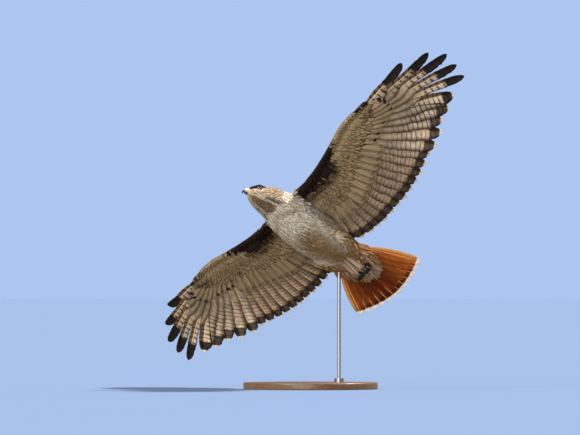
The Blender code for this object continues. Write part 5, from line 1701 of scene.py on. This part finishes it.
class HAWK_OT_feet(bpy.types.Operator):
    """Build the clenched feet and their claws"""
    bl_idname = "hawk.feet"
    bl_label = "Feet"

    def execute(self, context):
        for side, label in SIDES:
            centre = (FIST[0], FIST[1] * side, FIST[2])
            ankle = THIGH[-1]
            parts = []
            shank = [(ankle[0] + 0.010, ankle[1] * side, ankle[2], TARSUS_RADIUS * 0.9),
                     (ankle[0] - 0.006, (ankle[1] - 0.001) * side, ankle[2] + 0.0005, TARSUS_RADIUS),
                     (centre[0], centre[1], centre[2] + TOE_CURL, TARSUS_RADIUS * 1.15)]
            parts.append(swept(resampled(shank, 16), 20))
            for k in (-1, 0, 1):
                lateral = centre[1] + k * TOE_SPACING
                parts.append(toe(arc(centre, lateral, 78.0, TOE_END, TOE_RADIUS, 0.0024, TOE_RINGS), 7.0))
                claw = arc(centre, lateral, TOE_END - 2.0, TOE_END + CLAW_LENGTH, CLAW_RADIUS, CLAW_POINT,
                           CLAW_RINGS)
                name = "claw_" + label + "_" + ("inner", "middle", "outer")[int(k * side) + 1]
                self.claw(name, claw)
            lateral = centre[1] + 0.5 * TOE_SPACING * side
            hallux = arc(centre, lateral, 96.0, HALLUX_END, TOE_RADIUS * 1.05, 0.0026, HALLUX_RINGS)
            parts.append(toe(hallux, 4.0))
            claw = arc(centre, lateral, HALLUX_END + 2.0, HALLUX_END - 1.1 * CLAW_LENGTH,
                       CLAW_RADIUS * 1.1, CLAW_POINT, CLAW_RINGS)
            self.claw("claw_" + label + "_hind", claw)
            across = np.linspace(centre[1] - TOE_SPACING, centre[1] + TOE_SPACING, PALM_RINGS)
            palm = np.stack([centre[0] + 0.0 * across, across, centre[2] + TOE_CURL + 0.0 * across], 1)
            angle = circle(TOE_SIDES)
            ring = np.stack([np.cos(angle), 0.0 * angle, np.sin(angle)], 1)
            parts.append(palm[:, None] + 1.3 * TOE_RADIUS * ring)
            points, faces = joined([tube_mesh(rings) for rings in parts])
            foot = put_mesh("foot_skin_" + label, points, faces, shaders()["foot"])
            finished(foot, "foot_skin", "foot_" + label)
        return {'FINISHED'}

    def claw(self, node, path):
        """One smooth tapering claw."""
        points, faces = tube_mesh(swept(path, 16, 0.85))
        made = put_mesh(node + "_horn", points, faces, shaders()["claw"])
        finished(made, "claw_black", node)


class HAWK_OT_stand(bpy.types.Operator):
    """Finish the wooden base, the collar and the steel rod"""
    bl_idname = "hawk.stand"
    bl_label = "Stand"

    def execute(self, context):
        bend = np.linspace(0.0, 0.5 * math.pi, 8)
        rim = BASE_RADIUS - BASE_BEVEL
        top = BASE_HEIGHT - BASE_BEVEL
        profile = np.concatenate([
            [(0.0004, 0.0), (0.5 * rim, 0.0), (rim, 0.0)],
            np.stack([rim + BASE_BEVEL * np.sin(bend), BASE_BEVEL * (1.0 - np.cos(bend))], 1),
            np.stack([rim + BASE_BEVEL * np.cos(bend), top + BASE_BEVEL * np.sin(bend)], 1),
            [(0.5 * rim, BASE_HEIGHT), (0.0004, BASE_HEIGHT)]])
        turn = circle(144)[None]
        rings = np.stack([profile[:, :1] * np.cos(turn), profile[:, :1] * np.sin(turn),
                          profile[:, 1:] + 0.0 * turn], -1)
        points, faces = tube_mesh(rings)
        base = put_mesh("stand_base_turned", points, faces, shaders()["wood"], bird=False)
        finished(base, "stand_wood", "stand_base")
        for node in ("stand_collar", "stand_rod"):
            part = frame["nodes"][node]
            part.data.materials.clear()
            part.data.materials.append(shaders()["steel"])
        return {'FINISHED'}


class HAWK_OT_stage(bpy.types.Operator):
    """Lay the pale floor and set the lights and the camera"""
    bl_idname = "hawk.stage"
    bl_label = "Stage"

    def execute(self, context):
        colours = context.scene.hawk_colours
        mesh = bpy.data.meshes.new("floor")
        corners = [(FLOOR_REACH * x, FLOOR_REACH * y, 0.0) for x, y in ((-1, -1), (1, -1), (1, 1), (-1, 1))]
        mesh.from_pydata(corners, [], [(0, 1, 2, 3)])
        floor = bpy.data.objects.new("floor", mesh)
        context.scene.collection.objects.link(floor)
        made, build, shader = new_material("floor_pale")
        speckle = build.noise(build.place(), 3.0, 2.0)
        shader.inputs["Roughness"].default_value = 0.9
        shader.inputs["Specular IOR Level"].default_value = 0.1
        pale = tuple(colours.floor)
        build.feed(shader.inputs["Base Color"], build.mix(speckle, pale, tuple(0.985 * c for c in pale)))
        mesh.materials.append(made)
        world = bpy.data.worlds.new("air")
        context.scene.world = world
        world.use_nodes = True
        build = Nodes(world.node_tree)
        back = world.node_tree.nodes["Background"]
        seen = build.made_by(build.add('ShaderNodeLightPath'), "Is Camera Ray")
        build.feed(back.inputs["Color"], build.mix(seen, (0.34, 0.32, 0.28), tuple(colours.air)))
        back.inputs["Strength"].default_value = 1.0
        floor.visible_diffuse = False
        floor.visible_glossy = False
        for name, given in SUNS.items():
            self.sun(name, *given)
        context.scene.view_settings.view_transform = 'Standard'
        camera = bpy.data.cameras.new("camera")
        camera.sensor_width = SENSOR_WIDTH
        camera.sensor_fit = 'HORIZONTAL'
        camera.lens = SENSOR_WIDTH * PIXELS_PER_METRE * CAMERA_DISTANCE / PICTURE_WIDTH
        camera.clip_end = 900.0
        holder = bpy.data.objects.new("camera", camera)
        context.scene.collection.objects.link(holder)
        holder.location = (-0.055, -CAMERA_DISTANCE, 0.25)
        holder.rotation_euler = (math.radians(90.0 + CAMERA_TILT), 0.0, 0.0)
        context.scene.camera = holder
        return {'FINISHED'}

    def sun(self, name, toward, strength, spread, colour):
        """A distant lamp that shines from the given direction, soft over its spread in degrees."""
        light = bpy.data.lights.new(name, 'SUN')
        light.energy = strength
        light.angle = math.radians(spread)
        light.color = colour
        holder = bpy.data.objects.new(name, light)
        holder.rotation_euler = (-Vector(toward)).to_track_quat('-Z', 'Y').to_euler()
        bpy.context.scene.collection.objects.link(holder)


OPERATORS = (HAWK_OT_skin, HAWK_OT_body_coat, HAWK_OT_wings, HAWK_OT_tail, HAWK_OT_face, HAWK_OT_feet,
             HAWK_OT_stand, HAWK_OT_stage)


class HAWK_PT_panel(bpy.types.Panel):
    """Buttons for each group of pieces"""
    bl_idname = "HAWK_PT_panel"
    bl_label = "Hawk"
    bl_space_type = 'VIEW_3D'
    bl_region_type = 'UI'
    bl_category = "Hawk"

    def draw(self, context):
        for group in (context.scene.hawk_sizes, context.scene.hawk_colours):
            for name in group.__annotations__:
                self.layout.prop(group, name)
        for operator in OPERATORS:
            self.layout.operator(operator.bl_idname)


CLASSES = (HawkSizes, HawkColours) + OPERATORS + (HAWK_PT_panel,)


def register():
    for made in CLASSES:
        bpy.utils.register_class(made)
    bpy.types.Scene.hawk_sizes = bpy.props.PointerProperty(type=HawkSizes)
    bpy.types.Scene.hawk_colours = bpy.props.PointerProperty(type=HawkColours)


def unregister():
    del bpy.types.Scene.hawk_colours
    del bpy.types.Scene.hawk_sizes
    for made in reversed(CLASSES):
        bpy.utils.unregister_class(made)


def main():
    """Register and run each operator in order."""
    register()
    bpy.ops.hawk.skin()
    bpy.ops.hawk.body_coat()
    bpy.ops.hawk.wings()
    bpy.ops.hawk.tail()
    bpy.ops.hawk.face()
    bpy.ops.hawk.feet()
    bpy.ops.hawk.stand()
    bpy.ops.hawk.stage()


if __name__ == "__main__":
    main()
